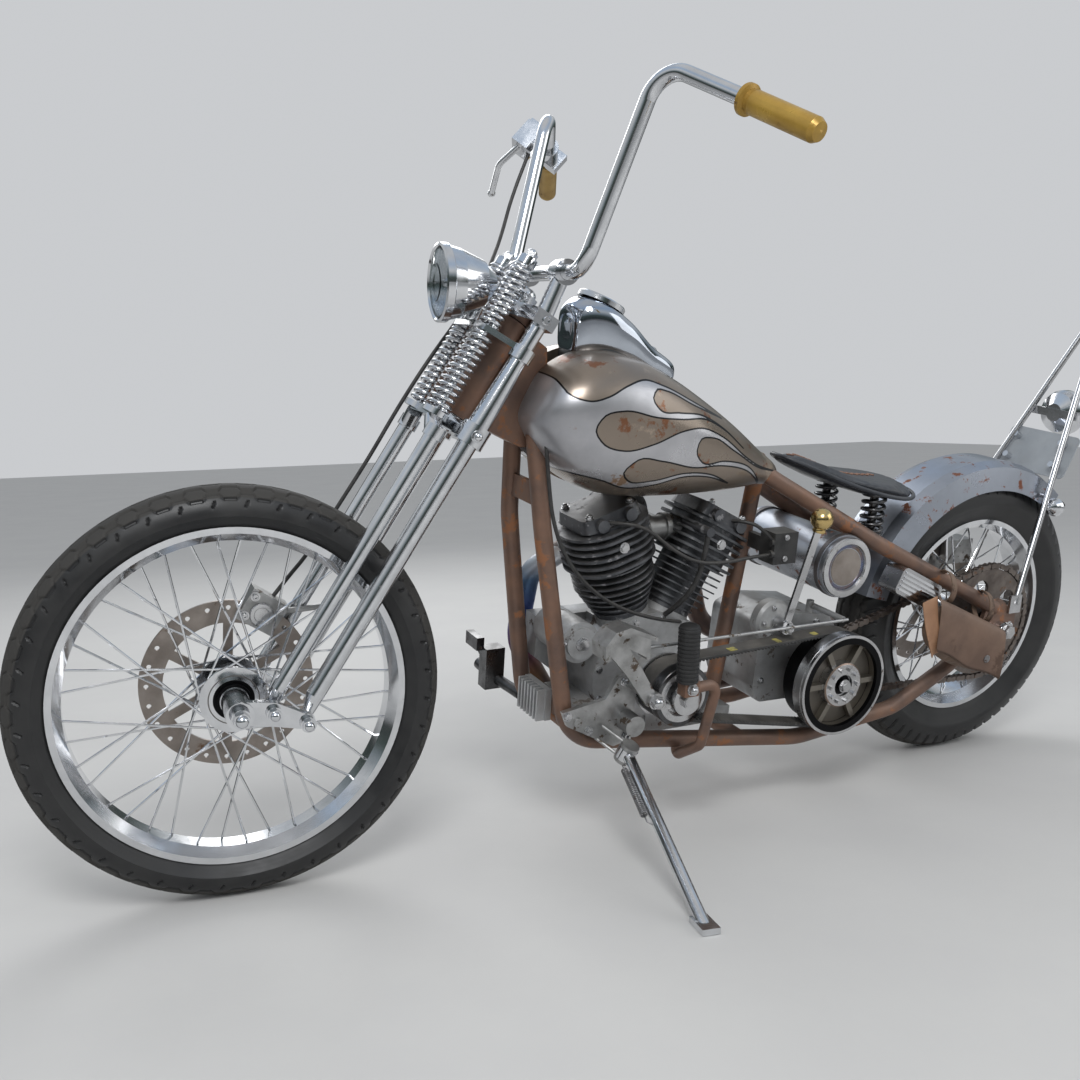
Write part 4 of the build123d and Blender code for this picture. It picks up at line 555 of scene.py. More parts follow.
def clear_glass() -> bpy.types.Material:
    """The headlamp's glass, with faint upright flutes in its surface."""
    glass, net, shader = blank_material("fluted_glass", Transmission_Weight=1.0, Roughness=0.03, IOR=1.45,
                                        Base_Color=(0.93, 0.96, 0.98, 1))
    feeds = {"Vector": net.add("TexCoord").outputs["Object"], "Scale": 34.0, "Distortion": 0.4}
    net.grain(shader, net.add("TexWave", feeds).outputs["Fac"], 0.35, 0.001)
    return glass


def red_glass() -> bpy.types.Material:
    """The rear lamps' red, uneven in tone and pressed with a fine grain."""
    red, net, shader = blank_material("red_lens", Coat_Weight=0.6, Roughness=0.12)
    mottle = net.add("Group", {"Scale": 160.0}, node_tree=SHADERS.mottle).outputs
    net.feed(shader.inputs["Base Color"], net.mix((0.28, 0.006, 0.006), (0.42, 0.02, 0.015), mottle["Slow"]))
    net.grain(shader, mottle["Grain"], 1.0, 0.0006)
    return red


@dataclass
class Dressing:
    """Gives each CAD node its finish; what no row names is chrome."""

    by_finish: tuple[tuple[Finish, str], ...] = (
        (RUSTY_TUBE, "frame left_peg"),
        (DASH_CHROME, "dash"),
        (SEAT_HIDE, "seat"),
        (SHEET_STEEL, "oil_tank tank_left tank_right"),
        (FENDER_STEEL, "rear_fender"),
        (CAST_CASE, "crankcase generator gearbox"),
        (DARK_FINS, "cylinders heads"),
        (BRIGHT_ALLOY, "drive_pulley shift_lever"),
        (WORN_ALLOY, "stand_bracket clutch_pedal intake rear_caliper front_caliper"),
        (DARK_STEEL, "foot_controls_right"),
        (SATIN_CHROME, "sissy_bar coil_cover"),
        (BLACK_PLASTIC, "ignition_coil"),
        (BLACK_SLEEVE, "spark_leads control_cable oil_hose brake_hose"),
        (BELT_RUBBER, "primary_belt"),
        (CHAIN_STEEL, "final_chain rear_sprocket"),
        (BAG_HIDE, "tool_bag"),
        (GOLD_GRIP, "grips"),
        (DISC_STEEL, "front_disc rear_disc"),
        (TYRE_RUBBER, "front_tyre rear_tyre"),
    )
    black: Colour = (0.012, 0.012, 0.013)
    clutch_face: float = 31.0
    pipe_front: float = 0.17

    def special(self) -> dict[str, bpy.types.Material]:
        """The materials that only one node wears."""
        face = self.clutch_face
        clutch = banded(BRIGHT_ALLOY, "clutch_drum", (472, 138, 272), (
            Band(0, 92.5, -40, face - 13.2, (0.17, 0.155, 0.135), 0.55),
            Band(85, 98.5, -40, face + 9.5, self.black, 0.5),
            Band(46.5, 86, face - 13.4, face - 0.6, (0.24, 0.22, 0.19), 0.5),
            Band(0, 21, face - 6, face + 6, self.black, 0.5),
            Band(34, 46, face + 4.5, face + 6.8, (0.27, 0.20, 0.16), 0.4),
        ))
        seam = Band(62, 66, -200, 200, (0.16, 0.15, 0.15), 0.5)
        oil = banded(SHEET_STEEL, "oil_tank_steel", (463, 0, 500.9), (seam,))
        pipe = heated(BLUED_PIPE, "heat_blued_pipe", self.pipe_front, (
            (0.20, (0.30, 0.22, 0.13)), (0.27, (0.34, 0.20, 0.10)), (0.33, (0.20, 0.08, 0.16)),
            (0.40, (0.05, 0.07, 0.26)), (0.47, (0.10, 0.18, 0.30)), (0.54, (0.26, 0.22, 0.20)),
        ))
        hub = banded(CHROME, "front_wheel_chrome", (STANCE.axle_lead, 0, 0), (
            Band(23, 33, 25, 60, self.black, 0.5), Band(39, 41, 25, 60, (0.20, 0.19, 0.18), 0.4),
        ), Placing.FORK)
        return {"clutch": clutch, "oil_tank": oil, "exhaust": pipe, "front_wheel": hub,
                "headlamp_lens": clear_glass()}

    def dress(self) -> None:
        """Put each node's finish in its object's own material slots."""
        named = {name: finish for finish, names in self.by_finish for name in names.split()}
        special = self.special()
        for name, node in frame["nodes"].items():
            material = special.get(name) or named.get(name, CHROME).material()
            for slot in node.material_slots:
                slot.link = "OBJECT"
                slot.material = material
            LOG.info("dressed %s with %s", name, material.name)


@dataclass
class Studio:
    """Plain pale floor, soft light, and the camera where the photograph was taken."""

    eye: tuple[float, float, float] = (1.23894, 1.71492, 0.80487)
    yaw: float = 241.9543
    pitch: float = -6.7170
    roll: float = -1.0586
    lens: float = 38.953
    sensor: float = 36.0
    floor_half: float = 14.0
    pale: Colour = (0.92, 0.94, 0.97)
    strengths: tuple[float, float] = (0.55, 0.64)
    mirrored: tuple[tuple[float, Colour], ...] = (
        (0.0, (0.42, 0.41, 0.40)), (0.20, (0.30, 0.30, 0.30)), (0.235, (0.05, 0.06, 0.06)),
        (0.36, (0.10, 0.13, 0.12)), (0.44, (0.36, 0.42, 0.46)), (0.58, (0.95, 0.98, 1.0)),
        (0.78, (0.62, 0.78, 1.0)), (1.0, (0.85, 0.92, 1.0)),
    )
    lamps: tuple[tuple[str, Colour, Colour, float, float], ...] = (
        ("key", (1.6, 2.6, 3.4), (0.0, 0.0, 0.4), 1.6, 88.0),
        ("fill", (-2.8, 2.2, 1.8), (0.0, 0.0, 0.5), 2.4, 28.0),
        ("back", (-0.5, -3.0, 2.6), (0.0, 0.0, 0.6), 2.0, 45.0),
    )

    def stand_up(self, name: str, data: bpy.types.ID) -> bpy.types.Object:
        """A new object of the stage, which belongs to no body."""
        thing = bpy.data.objects.new(name, data)
        bpy.context.scene.collection.objects.link(thing)
        return thing

    def camera(self) -> None:
        """Look along yaw and pitch from the eye, with the small roll of the photograph."""
        yaw, pitch, roll = (math.radians(a) for a in (self.yaw, self.pitch, self.roll))
        ahead = np.array([math.cos(pitch) * math.cos(yaw), math.cos(pitch) * math.sin(yaw), math.sin(pitch)])
        right = np.cross(ahead, UP)
        right /= np.linalg.norm(right)
        up = np.cross(right, ahead)
        across = right * math.cos(roll) + up * math.sin(roll)
        over = -right * math.sin(roll) + up * math.cos(roll)
        data = bpy.data.cameras.new("view")
        data.lens = self.lens
        data.sensor_width = self.sensor
        data.sensor_fit = "HORIZONTAL"
        camera = self.stand_up("view", data)
        columns = np.column_stack([across, over, -ahead, self.eye])
        camera.matrix_world = Matrix(np.vstack([columns, (0, 0, 0, 1)]).tolist())
        bpy.context.scene.camera = camera

    def light(self) -> None:
        """A pale world that mirrors as a dark horizon under a bright sky, a soft key and two weaker lamps."""
        world = bpy.data.worlds.new("studio")
        world.use_nodes = True
        net = Net(world.node_tree)
        back = world.node_tree.nodes["Background"].inputs
        path = net.add("LightPath").outputs
        seen = net.math("MAXIMUM", path["Is Camera Ray"], path["Is Glossy Ray"])
        seen = net.math("MAXIMUM", seen, path["Is Transmission Ray"])
        net.feed(back["Strength"], net.ranged(seen, 0, 1, *self.strengths))
        rise = net.add("SeparateXYZ", {0: net.add("TexCoord").outputs["Generated"]}).outputs["Z"]
        mirrored = net.ramp(net.ranged(rise, -0.3, 1.0), self.mirrored)
        net.feed(back["Color"], net.mix(self.pale, mirrored, path["Is Glossy Ray"]))
        bpy.context.scene.world = world
        for name, spot, target, size, power in self.lamps:
            data = bpy.data.lights.new(name, "AREA")
            data.size = size
            data.energy = power
            lamp = self.stand_up(name, data)
            lamp.location = spot
            lamp.rotation_euler = (Vector(target) - Vector(spot)).to_track_quat("-Z", "Y").to_euler()

    def floor(self) -> None:
        """A wide pale floor at road level."""
        half = self.floor_half
        mesh = bpy.data.meshes.new("floor")
        corners = [(-half, -half, 0), (half, -half, 0), (half, half, 0), (-half, half, 0)]
        mesh.from_pydata(corners, [], [[0, 1, 2, 3]])
        plain = Finish("pale_floor", (0.60, 0.60, 0.59), (0.58, 0.58, 0.575), 0.0, (0.75, 0.85), 3, bump=0.0)
        mesh.materials.append(plain.material())
        self.stand_up("floor", mesh)


@dataclass
class Form:
    """Points in millimetres and the faces between them, before they are placed."""

    points: Array
    quads: Array = field(default_factory=lambda: np.zeros((0, 4), int))
    polygons: list[list[int]] = field(default_factory=list)

    def volume(self) -> float:
        """Six times the enclosed volume, positive when the faces look outwards."""
        total = 0.0
        for corners in ((0, 1, 2), (0, 2, 3)):
            a, b, c = (self.points[self.quads[:, k]] for k in corners)
            total += float(np.einsum("ij,ij->i", a, np.cross(b, c)).sum())
        for polygon in self.polygons:
            first = self.points[polygon[0]]
            for here, after in zip(polygon[1:-1], polygon[2:]):
                total += float(first @ np.cross(self.points[here], self.points[after]))
        return total

    def outward(self) -> "Form":
        """The same form with its faces turned outwards."""
        centred = Form(self.points - self.points.mean(axis=0), self.quads, self.polygons)
        if centred.volume() >= 0:
            return self
        return Form(self.points, self.quads[:, ::-1], [polygon[::-1] for polygon in self.polygons])

    def moved(self, origin: Point, axes: Array | None = None) -> "Form":
        """The form with its own x, y and z laid along the rows of axes, and its origin at a point."""
        turned = self.points if axes is None else self.points @ axes
        return Form(turned + np.asarray(origin, float), self.quads, self.polygons).outward()


def joined(forms: Sequence[Form]) -> Form:
    """Several forms as one, each with its faces outwards."""
    points, quads, polygons, start = [], [], [], 0
    for form in map(Form.outward, forms):
        points.append(form.points)
        quads.append(form.quads + start)
        polygons += [[number + start for number in polygon] for polygon in form.polygons]
        start += len(form.points)
    return Form(np.vstack(points), np.vstack(quads), polygons)


def show(name: str, form: Form, finish: Finish | bpy.types.Material, sharp: float = 35,
         placing: Placing = Placing.MACHINE, body: str = "frame") -> bpy.types.Object:
    """Place a form in the parked frame and make it a piece that rides on a body.

    Args:
        name: The piece's name.
        form: Its points and faces.
        finish: Its finish or material.
        sharp: The angle in degrees above which an edge stays sharp, or FLAT or ALL_SMOOTH.
        placing: The frame of its points.
        body: The CAD body that carries it.

    Returns:
        The Blender object.
    """
    form = form.outward()
    faces = form.quads.tolist() + form.polygons
    mesh = bpy.data.meshes.new(name)
    mesh.from_pydata(placed(form.points, placing).tolist(), [], faces)
    mesh.polygons.foreach_set("use_smooth", np.full(len(mesh.polygons), sharp > FLAT))
    mesh.validate()
    mesh.update()
    mesh.materials.append(finish.material() if isinstance(finish, Finish) else finish)
    if FLAT < sharp < ALL_SMOOTH:
        mesh.set_sharp_from_angle(angle=math.radians(sharp))
    piece = bpy.data.objects.new(name, mesh)
    bpy.context.scene.collection.objects.link(piece)
    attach(piece, body)
    LOG.info("made %s with %d faces", name, len(faces))
    return piece


def grid_faces(rows: int, columns: int, wrap_rows: bool = False, wrap_columns: bool = False) -> Array:
    """The four-sided faces of a grid of points, row by row, joined round either way if asked."""
    row = np.arange(rows if wrap_rows else rows - 1)[:, None]
    column = np.arange(columns if wrap_columns else columns - 1)[None, :]
    row_next, column_next = (row + 1) % rows, (column + 1) % columns
    faces = np.stack([row * columns + column, row * columns + column_next,
                      row_next * columns + column_next, row_next * columns + column], axis=-1)
    return faces.reshape(-1, 4)


def skin(x: Array, y: Array, z: Array) -> Form:
    """Rings of points, one row for each ring, joined into a closed skin with flat ends."""
    rings = np.stack(np.broadcast_arrays(x, y, z), axis=-1)
    rows, steps = rings.shape[:2]
    last = (rows - 1) * steps
    ends = [list(range(steps))[::-1], list(range(last, last + steps))]
    return Form(rings.reshape(-1, 3), grid_faces(rows, steps, False, True), ends)


def circle(steps: int) -> Array:
    """Even angles once round."""
    return np.linspace(0, 2 * np.pi, steps, endpoint=False)


def powered(value: Array, power: float) -> Array:
    """Each value raised to a power with its sign kept, which squares off a circle's section."""
    return np.sign(value) * np.abs(value) ** power


def unit(vectors: Array) -> Array:
    """Each row at length one."""
    return vectors / np.linalg.norm(vectors, axis=-1, keepdims=True)


def axes_for(ahead: Point, side: Point = LEFT) -> Array:
    """Rows x, y, z of a right-handed frame whose z is ahead and whose x is as near to side as it can be."""
    z = unit(np.asarray(ahead, float))
    x = np.asarray(side, float) - z * (z @ np.asarray(side, float))
    if np.linalg.norm(x) < TINY:
        x = np.array([1.0, 0, 0]) - z * z[0]
    x = unit(x)
    return np.array([x, np.cross(z, x), z])


def lathe(profile: Sequence[Sequence[float]], sides: int = 32, ring: bool = False) -> Form:
    """A profile of (radius, height) turned about z: x = r cos a, y = r sin a.

    Args:
        profile: The (radius, height) rows. A row on the axis becomes one pole.
        sides: The number of steps round.
        ring: Whether the profile closes on itself, as a ring's section does.

    Returns:
        The closed form.
    """
    rows = np.asarray(profile, float)
    poles = [not ring and rows[end, 0] < TINY for end in (0, -1)]
    heights = rows[0, 1], rows[-1, 1]
    rows = rows[int(poles[0]):len(rows) - int(poles[1])]
    angle = circle(sides)
    points = np.stack([rows[:, :1] * np.cos(angle), rows[:, :1] * np.sin(angle),
                       np.repeat(rows[:, 1:], sides, axis=1)], axis=-1).reshape(-1, 3)
    polygons: list[list[int]] = []
    first = list(range(sides))[::-1]
    last = [(len(rows) - 1) * sides + k for k in range(sides)]
    extra = []
    for wanted, height, loop in zip(poles, heights, (first, last)):
        if wanted:
            pole = len(points) + len(extra)
            extra.append((0, 0, height))
            polygons += [[loop[k], loop[(k + 1) % sides], pole] for k in range(sides)]
        elif not ring:
            polygons.append(loop)
    return Form(np.vstack([points, *extra]), grid_faces(len(rows), sides, ring, True), polygons)


def cylinder(radius: float, low: float, high: float, sides: int = 24) -> Form:
    """A plain round block about z."""
    return lathe(((0, low), (radius, low), (radius, high), (0, high)), sides)


def prism(outline: Sequence[Sequence[float]], low: float, high: float) -> Form:
    """An outline of (x, y) points raised from one height to another."""
    x, y = np.asarray(outline, float).T
    return skin(x, y, np.array([[low], [high]]))


def arc(radius: float, start: float, end: float, count: int) -> Array:
    """Points (x, y) of an arc about the origin between two angles."""
    angle = np.linspace(start, end, count)
    return radius * np.column_stack([np.cos(angle), np.sin(angle)])


def round_rectangle(width: float, height: float, radius: float, steps: int = 6) -> Array:
    """The outline of a rectangle with round corners, anticlockwise about its middle."""
    corners = np.array(((1, 1), (-1, 1), (-1, -1), (1, -1))) * (width / 2 - radius, height / 2 - radius)
    return np.vstack([corner + arc(radius, quarter * np.pi / 2, (quarter + 1) * np.pi / 2, steps)
                      for quarter, corner in enumerate(corners)])


def tube(path: Array, radius: float, sides: int = 12, reference: Point = UP) -> Form:
    """A round tube along a path: each ring lies across the path's direction, square to a fixed reference.

    Args:
        path: The centre line's points.
        radius: The tube's radius.
        sides: The number of steps round.
        reference: A direction that the path never runs along.

    Returns:
        The tube with flat ends.
    """
    tangent = unit(np.gradient(path, axis=0))
    ref = np.asarray(reference, float)
    first = unit(ref - tangent * (tangent @ ref)[:, None])
    second = np.cross(tangent, first)
    angle = circle(sides)[None, :, None]
    ring = first[:, None, :] * np.cos(angle) + second[:, None, :] * np.sin(angle)
    return skin(*np.moveaxis(path[:, None, :] + radius * ring, -1, 0))


def coil(start: Point, way: Point, length: float, turns: float, radius: float, wire: float,
         closed_ends: float = 1.0) -> Form:
    """A coil spring: a helix about way whose turns close up near its two ends.

    Args:
        start: The middle of its first end.
        way: The direction of its axis.
        length: Its length.
        turns: The number of turns.
        radius: The helix's radius, to the middle of the wire.
        wire: The wire's diameter.
        closed_ends: How many turns at each end lie on each other.

    Returns:
        The spring.
    """
    steps_a_turn = 22
    turned = np.linspace(0, turns, int(turns * steps_a_turn))
    dead = wire * closed_ends
    body = np.clip((turned - closed_ends) / (turns - 2 * closed_ends), 0, 1)
    height = wire / 2 + np.clip(turned / closed_ends, 0, 1) * dead + body * (length - wire - 2 * dead)
    height += np.clip((turned - turns + closed_ends) / closed_ends, 0, 1) * dead
    axes = axes_for(way)
    around = 2 * np.pi * turned
    local = np.column_stack([radius * np.cos(around), radius * np.sin(around), height])
    return tube(np.asarray(start, float) + local @ axes, wire / 2, 10, axes[2])


class Head(Enum):
    """The shapes of a fastener's head."""

    HEX = "hex"
    SOCKET = "socket"
    ACORN = "acorn"


def fastener(at: Point, way: Point, size: float, head: Head = Head.HEX) -> Form:
    """A bolt head or nut on its washer, looking along way.

    Args:
        at: The middle of the face it sits on.
        way: The direction it faces.
        size: The thread's diameter.
        head: Its shape.

    Returns:
        The fastener.
    """
    rim = size * 0.95
    parts = [cylinder(rim * 1.18, -0.5, 1.2, 20)]
    if head is Head.SOCKET:
        bore = size * 0.42
        parts.append(lathe(((0, 1.0), (rim * 0.86, 1.0), (rim * 0.86, size * 0.9), (rim * 0.74, size),
                            (bore, size), (bore, size * 0.45), (0, size * 0.45)), 16))
    elif head is Head.ACORN:
        dome = arc(1, 0, np.pi / 2, 5) * (rim * 0.78, size * 0.6) + (0, size * 0.75)
        profile = [(0, size * 0.5), (rim * 0.78, size * 0.5), *dome[:-1], (0, size * 1.35)]
        parts += [prism(hexagon_outline(rim), 1.0, size * 0.75), lathe(profile, 16)]
    else:
        profile = ((0, size * 0.4), (rim * 0.8, size * 0.4), (rim * 0.8, size * 0.68), (0, size * 0.72))
        parts += [prism(hexagon_outline(rim), 1.0, size * 0.62), lathe(profile, 12)]
    return joined(parts).moved(at, axes_for(way, (0.3, 0.2, 0.9)))


def hexagon_outline(reach: float) -> Array:
    """The six corners of a hexagon."""
    return arc(reach, 0, 5 * np.pi / 3, 6)


@dataclass(frozen=True)
class BoltRing:
    """Fasteners set evenly round an oval, all looking to the machine's left."""

    middle: tuple[float, float, float]
    half_long: float
    half_high: float
    count: int
    size: float
    head: Head
    start: float = 0.0

    def forms(self) -> list[Form]:
        """One fastener at each place."""
        x, y, z = self.middle
        angle = self.start + circle(self.count)
        places = np.column_stack([x + self.half_long * np.cos(angle), np.full(self.count, y),
                                  z + self.half_high * np.sin(angle)])
        return [fastener(at, LEFT, self.size, self.head) for at in places]


def soft_step(value: Array, low: float, high: float) -> Array:
    """A smooth rise from nought to one between two values."""
    share = np.clip((value - low) / (high - low), 0, 1)
    return share * share * (3 - 2 * share)


def distances(points: Array) -> Array:
    """How far along a line of points each one lies."""
    return np.concatenate([[0], np.cumsum(np.linalg.norm(np.diff(points, axis=0), axis=1))])


def smooth_table(table: Array, stations: Array) -> Array:
    """Each column of a table carried smoothly through its rows by cubic pieces.

    The slope at a row is the mean slope of its two neighbours, and each piece is the Hermite cubic.

    Args:
        table: Rows of values; the first column is the station.
        stations: Where values are wanted.

    Returns:
        One row of the other columns for each station.
    """
    where, values = table[:, 0], table[:, 1:]
    slope = np.gradient(values, where, axis=0)
    index = np.clip(np.searchsorted(where, stations) - 1, 0, len(where) - 2)
    step = (where[index + 1] - where[index])[:, None]
    share = ((stations - where[index])[:, None]) / step
    late = 3 * share**2 - 2 * share**3
    from_first = (1 - late) * values[index] + (share**3 - 2 * share**2 + share) * step * slope[index]
    return from_first + late * values[index + 1] + (share**3 - share**2) * step * slope[index + 1]


def smooth_line(rows: Sequence[Sequence[float]], count: int) -> Array:
    """Rows of numbers joined by one smooth line, at even steps of the distance between them."""
    table = np.asarray(rows, float)
    along = distances(table)
    return smooth_table(np.column_stack([along, table]), np.linspace(0, along[-1], count))


def even_loop(loop: Array, count: int) -> Array:
    """Evenly spaced stations along a closed line of points."""
    closed = np.vstack([loop, loop[:1]])
    along = distances(closed)
    want = along[-1] * np.arange(count) / count
    return np.column_stack([np.interp(want, along, column) for column in closed.T])


def rounded(outline: Array, times: int) -> Array:
    """A closed outline whose corners are cut at a quarter of their two runs, so many times over."""
    for _ in range(times):
        before, after = np.roll(outline, 1, axis=0) - outline, np.roll(outline, -1, axis=0) - outline
        outline = np.stack([outline + 0.25 * before, outline + 0.25 * after], axis=1).reshape(-1, 2)
    return outline


@dataclass
class Tank:
    """The fuel tank's two halves, as round shells with traditional flames laid out on their sides.

    A section is its place, bottom, top and half width. The flames are runs of points between sharp tips.
    """

    gap: float = 24.0
    squareness: float = 2.5
    stations: int = 190
    around: int = 150
    stripe: float = 1.7
    sections: tuple[tuple[float, ...], ...] = (
        (601, 680, 683, 40), (602.5, 671, 692, 54), (606, 664, 698, 62), (660, 657, 736, 88),
        (730, 652, 785, 116), (800, 650, 829, 134), (870, 650, 868, 148), (940, 652, 898, 152),
        (1010, 664, 911, 152), (1075, 696, 897, 146), (1112, 730, 873, 128), (1136, 766, 835, 98),
        (1146, 784, 813, 72), (1149, 796, 800, 42),
    )
    flames: tuple[tuple[tuple[float, float], ...], ...] = (
        ((1180, 880), (1113, 870), (1107, 849), (1079, 838), (1042, 845), (1005, 861), (964, 870), (926, 860),
         (856, 830), (780, 797)),
        ((780, 797), (863, 827), (923, 852), (942, 855), (955, 841), (942, 822), (900, 816), (849, 810),
         (793, 786), (732, 743)),
        ((732, 743), (787, 781), (838, 802), (894, 805), (949, 810), (1013, 822), (1053, 813), (1066, 791),
         (1050, 768), (1009, 755), (951, 765), (892, 785), (849, 788), (795, 770), (724, 727), (685, 708),
         (617, 687)),
        ((617, 687), (681, 703), (761, 742), (818, 769), (851, 768), (858, 746), (841, 727), (785, 725),
         (718, 710), (651, 661)),
        ((651, 661), (720, 702), (789, 717), (859, 719), (929, 734), (980, 738), (1000, 715), (982, 697),
         (939, 697), (879, 709), (808, 701), (756, 679)),
        ((756, 679), (818, 698), (878, 702), (932, 688), (981, 683), (1033, 700), (1087, 711), (1180, 712)),
    )

    def shell(self, side: int) -> Form:
        """One half: across each station the outer wall is a superellipse and the inner wall is flat."""
        x, bottom, top, outer = smooth_line(self.sections, self.stations).T[:, :, None]
        angle = np.linspace(-np.pi / 2, np.pi / 2, self.around)
        power = 2 / self.squareness
        y = self.gap + (outer - self.gap) * powered(np.cos(angle), power)
        return skin(x, side * y, (bottom + top) / 2 + (top - bottom) / 2 * powered(np.sin(angle), power))

    def flame_depth(self, points: Array) -> Array:
        """How far each point lies inside the flames, seen from the side; outside is negative.

        The distance to the nearest piece of the outline, signed by how often a ray crosses it. The outline
        is a smooth line through each run of its points, sharp where two runs meet.
        """
        outline = np.vstack([smooth_line(run, 5 * len(run))[:-1] for run in self.flames])
        best = np.full(len(points), np.inf)
        inside = np.zeros(len(points), bool)
        x, z = points[:, 0], points[:, 2]
        for (ax, az), (bx, bz) in zip(outline, np.roll(outline, -1, axis=0)):
            run = (bx - ax) ** 2 + (bz - az) ** 2
            share = np.clip(((x - ax) * (bx - ax) + (z - az) * (bz - az)) / run, 0, 1)
            best = np.minimum(best, (x - ax - share * (bx - ax)) ** 2 + (z - az - share * (bz - az)) ** 2)
            if az != bz:
                crosses = (az > z) != (bz > z)
                inside ^= crosses & (x < ax + (z - az) * (bx - ax) / (bz - az))
        return np.sqrt(best) * np.where(inside, 1, -1)

    def paint(self) -> bpy.types.Material:
        """Light bare metal inside the flames, a fine black line round them and a stained tan outside."""
        silver = Finish("tank_flame_silver", (0.50, 0.50, 0.52), (0.37, 0.37, 0.39), 0.75, (0.24, 0.4), 7,
                        (0.30, 0.20, 0.13), 0.66, 13, dust=0.12, bump=0.05, coat=0.25)
        material = silver.make()
        net, shader = reopened(material, silver.name)
        depth = net.add("Attribute", attribute_name="inside_flame").outputs["Fac"]
        mottle = net.add("Group", {"Scale": 6.0}, node_tree=SHADERS.mottle).outputs
        tan = net.mix((0.20, 0.165, 0.135), (0.31, 0.255, 0.205), mottle["Slow"])
        for size, level, stain in ((9.0, 0.565, (0.40, 0.32, 0.25)), (20.0, 0.585, (0.21, 0.09, 0.045))):
            tan = net.mix(tan, stain, Finish.spots(net, size, level))
        blur = 0.4
        net.cover(shader, net.ranged(depth, blur, -blur), tan)
        line = net.ranged(net.math("ABSOLUTE", depth), self.stripe, self.stripe - 0.5)
        net.cover(shader, line, (0.012, 0.012, 0.013))
        return material

    def build(self) -> None:
        """Both halves, each in place of its CAD node."""
        material = self.paint()
        for name, side in (("left", 1), ("right", -1)):
            form = self.shell(side)
            piece = show(f"tank_shell_{name}", form, material, 60)
            attribute = piece.data.attributes.new("inside_flame", "FLOAT", "POINT")
            attribute.data.foreach_set("value", self.flame_depth(form.points).astype(np.float32))
            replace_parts(piece, f"tank_{name}")


@dataclass
class Dash:
    """The bright console on the tank: a smooth hood through its sections, with a dial in its top."""

    sections: tuple[tuple[float, ...], ...] = (
        (1051, 928, 958, 16), (1046, 894, 984, 36), (1028, 892, 995, 47), (1008, 891, 996, 53),
        (950, 880, 966, 56), (892, 862, 918, 46), (842, 850, 886, 33), (834, 858, 876, 16),
    )
    tank_tops: tuple[float, ...] = (904, 905, 909, 911.5, 901, 878, 851, 847)
    dial_at: Point = (984.0, 0.0, 988.0)
    dial_way: Point = (-0.42, 0.0, 0.91)
    knob_at: Point = (872.0, 0.0, 905.0)
    squareness: float = 3.0

    def hood(self, sections: Sequence[Sequence[float]]) -> Form:
        """Each section (place, bottom, top, half width) is a superellipse, joined by a smooth line."""
        x, bottom, top, half = smooth_line(sections, 90).T[:, :, None]
        angle = circle(96)
        power = 2 / self.squareness
        return skin(x, half * powered(np.cos(angle), power),
                    (top + bottom) / 2 + (top - bottom) / 2 * powered(np.sin(angle), power))

    def build(self) -> None:
        """The hood in place of its CAD node, then the dial: a rim, a black face, plain marks and a needle."""
        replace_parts(show("dash_hood", self.hood(self.sections), DASH_CHROME, ALL_SMOOTH), "dash")
        gasket = [(x, top - 22, top + 1.5, half + 7)
                  for (x, _, _, half), top in zip(self.sections, self.tank_tops)]
        show("dash_gasket", self.hood(gasket), BLACK_PLASTIC, ALL_SMOOTH)
        axes = axes_for(self.dial_way)
        rim = lathe(((38, -6), (44, -6), (44, 2), (41.5, 4.5), (38.5, 2.5)), 64, True)
        show("dial_rim", rim.moved(self.dial_at, axes), CHROME, 40)
        face = lathe(((0, -5), (39, -5), (39, 0.6), (0, 1.2)), 64)
        show("dial_face", face.moved(self.dial_at, axes), DIAL_BLACK, 40)
        marks = [prism(((-1, -6), (1, -6), (0.4, 27), (-0.4, 27)), 1.4, 2.2)]
        for turned in np.radians(np.arange(-130, 131, 20)):
            out = np.array([math.sin(turned), math.cos(turned)])
            across = np.array([out[1], -out[0]])
            corners = [out * r + across * w for r, w in ((30, -0.8), (36, -0.8), (36, 0.8), (30, 0.8))]
            marks.append(prism(corners, 0.6, 1.5))
        show("dial_marks", joined(marks).moved(self.dial_at, axes), PALE_MARK, FLAT)
        knob = lathe(((0, -4), (9, -4), (9, 3), (6, 6), (0, 7)), 20)
        show("dash_knob", knob.moved(self.knob_at, axes), BRIGHT_ALLOY, 40)


class Tread(Enum):
    """The two tyres' patterns."""

    ZIGZAG = "zigzag"
    BLOCK = "block"


def groove(offset: Array, width: float) -> Array:
    """One on a line, falling to nought at the groove's edges."""
    return 1 - soft_step(np.abs(offset), width * 0.35, width * 0.8)


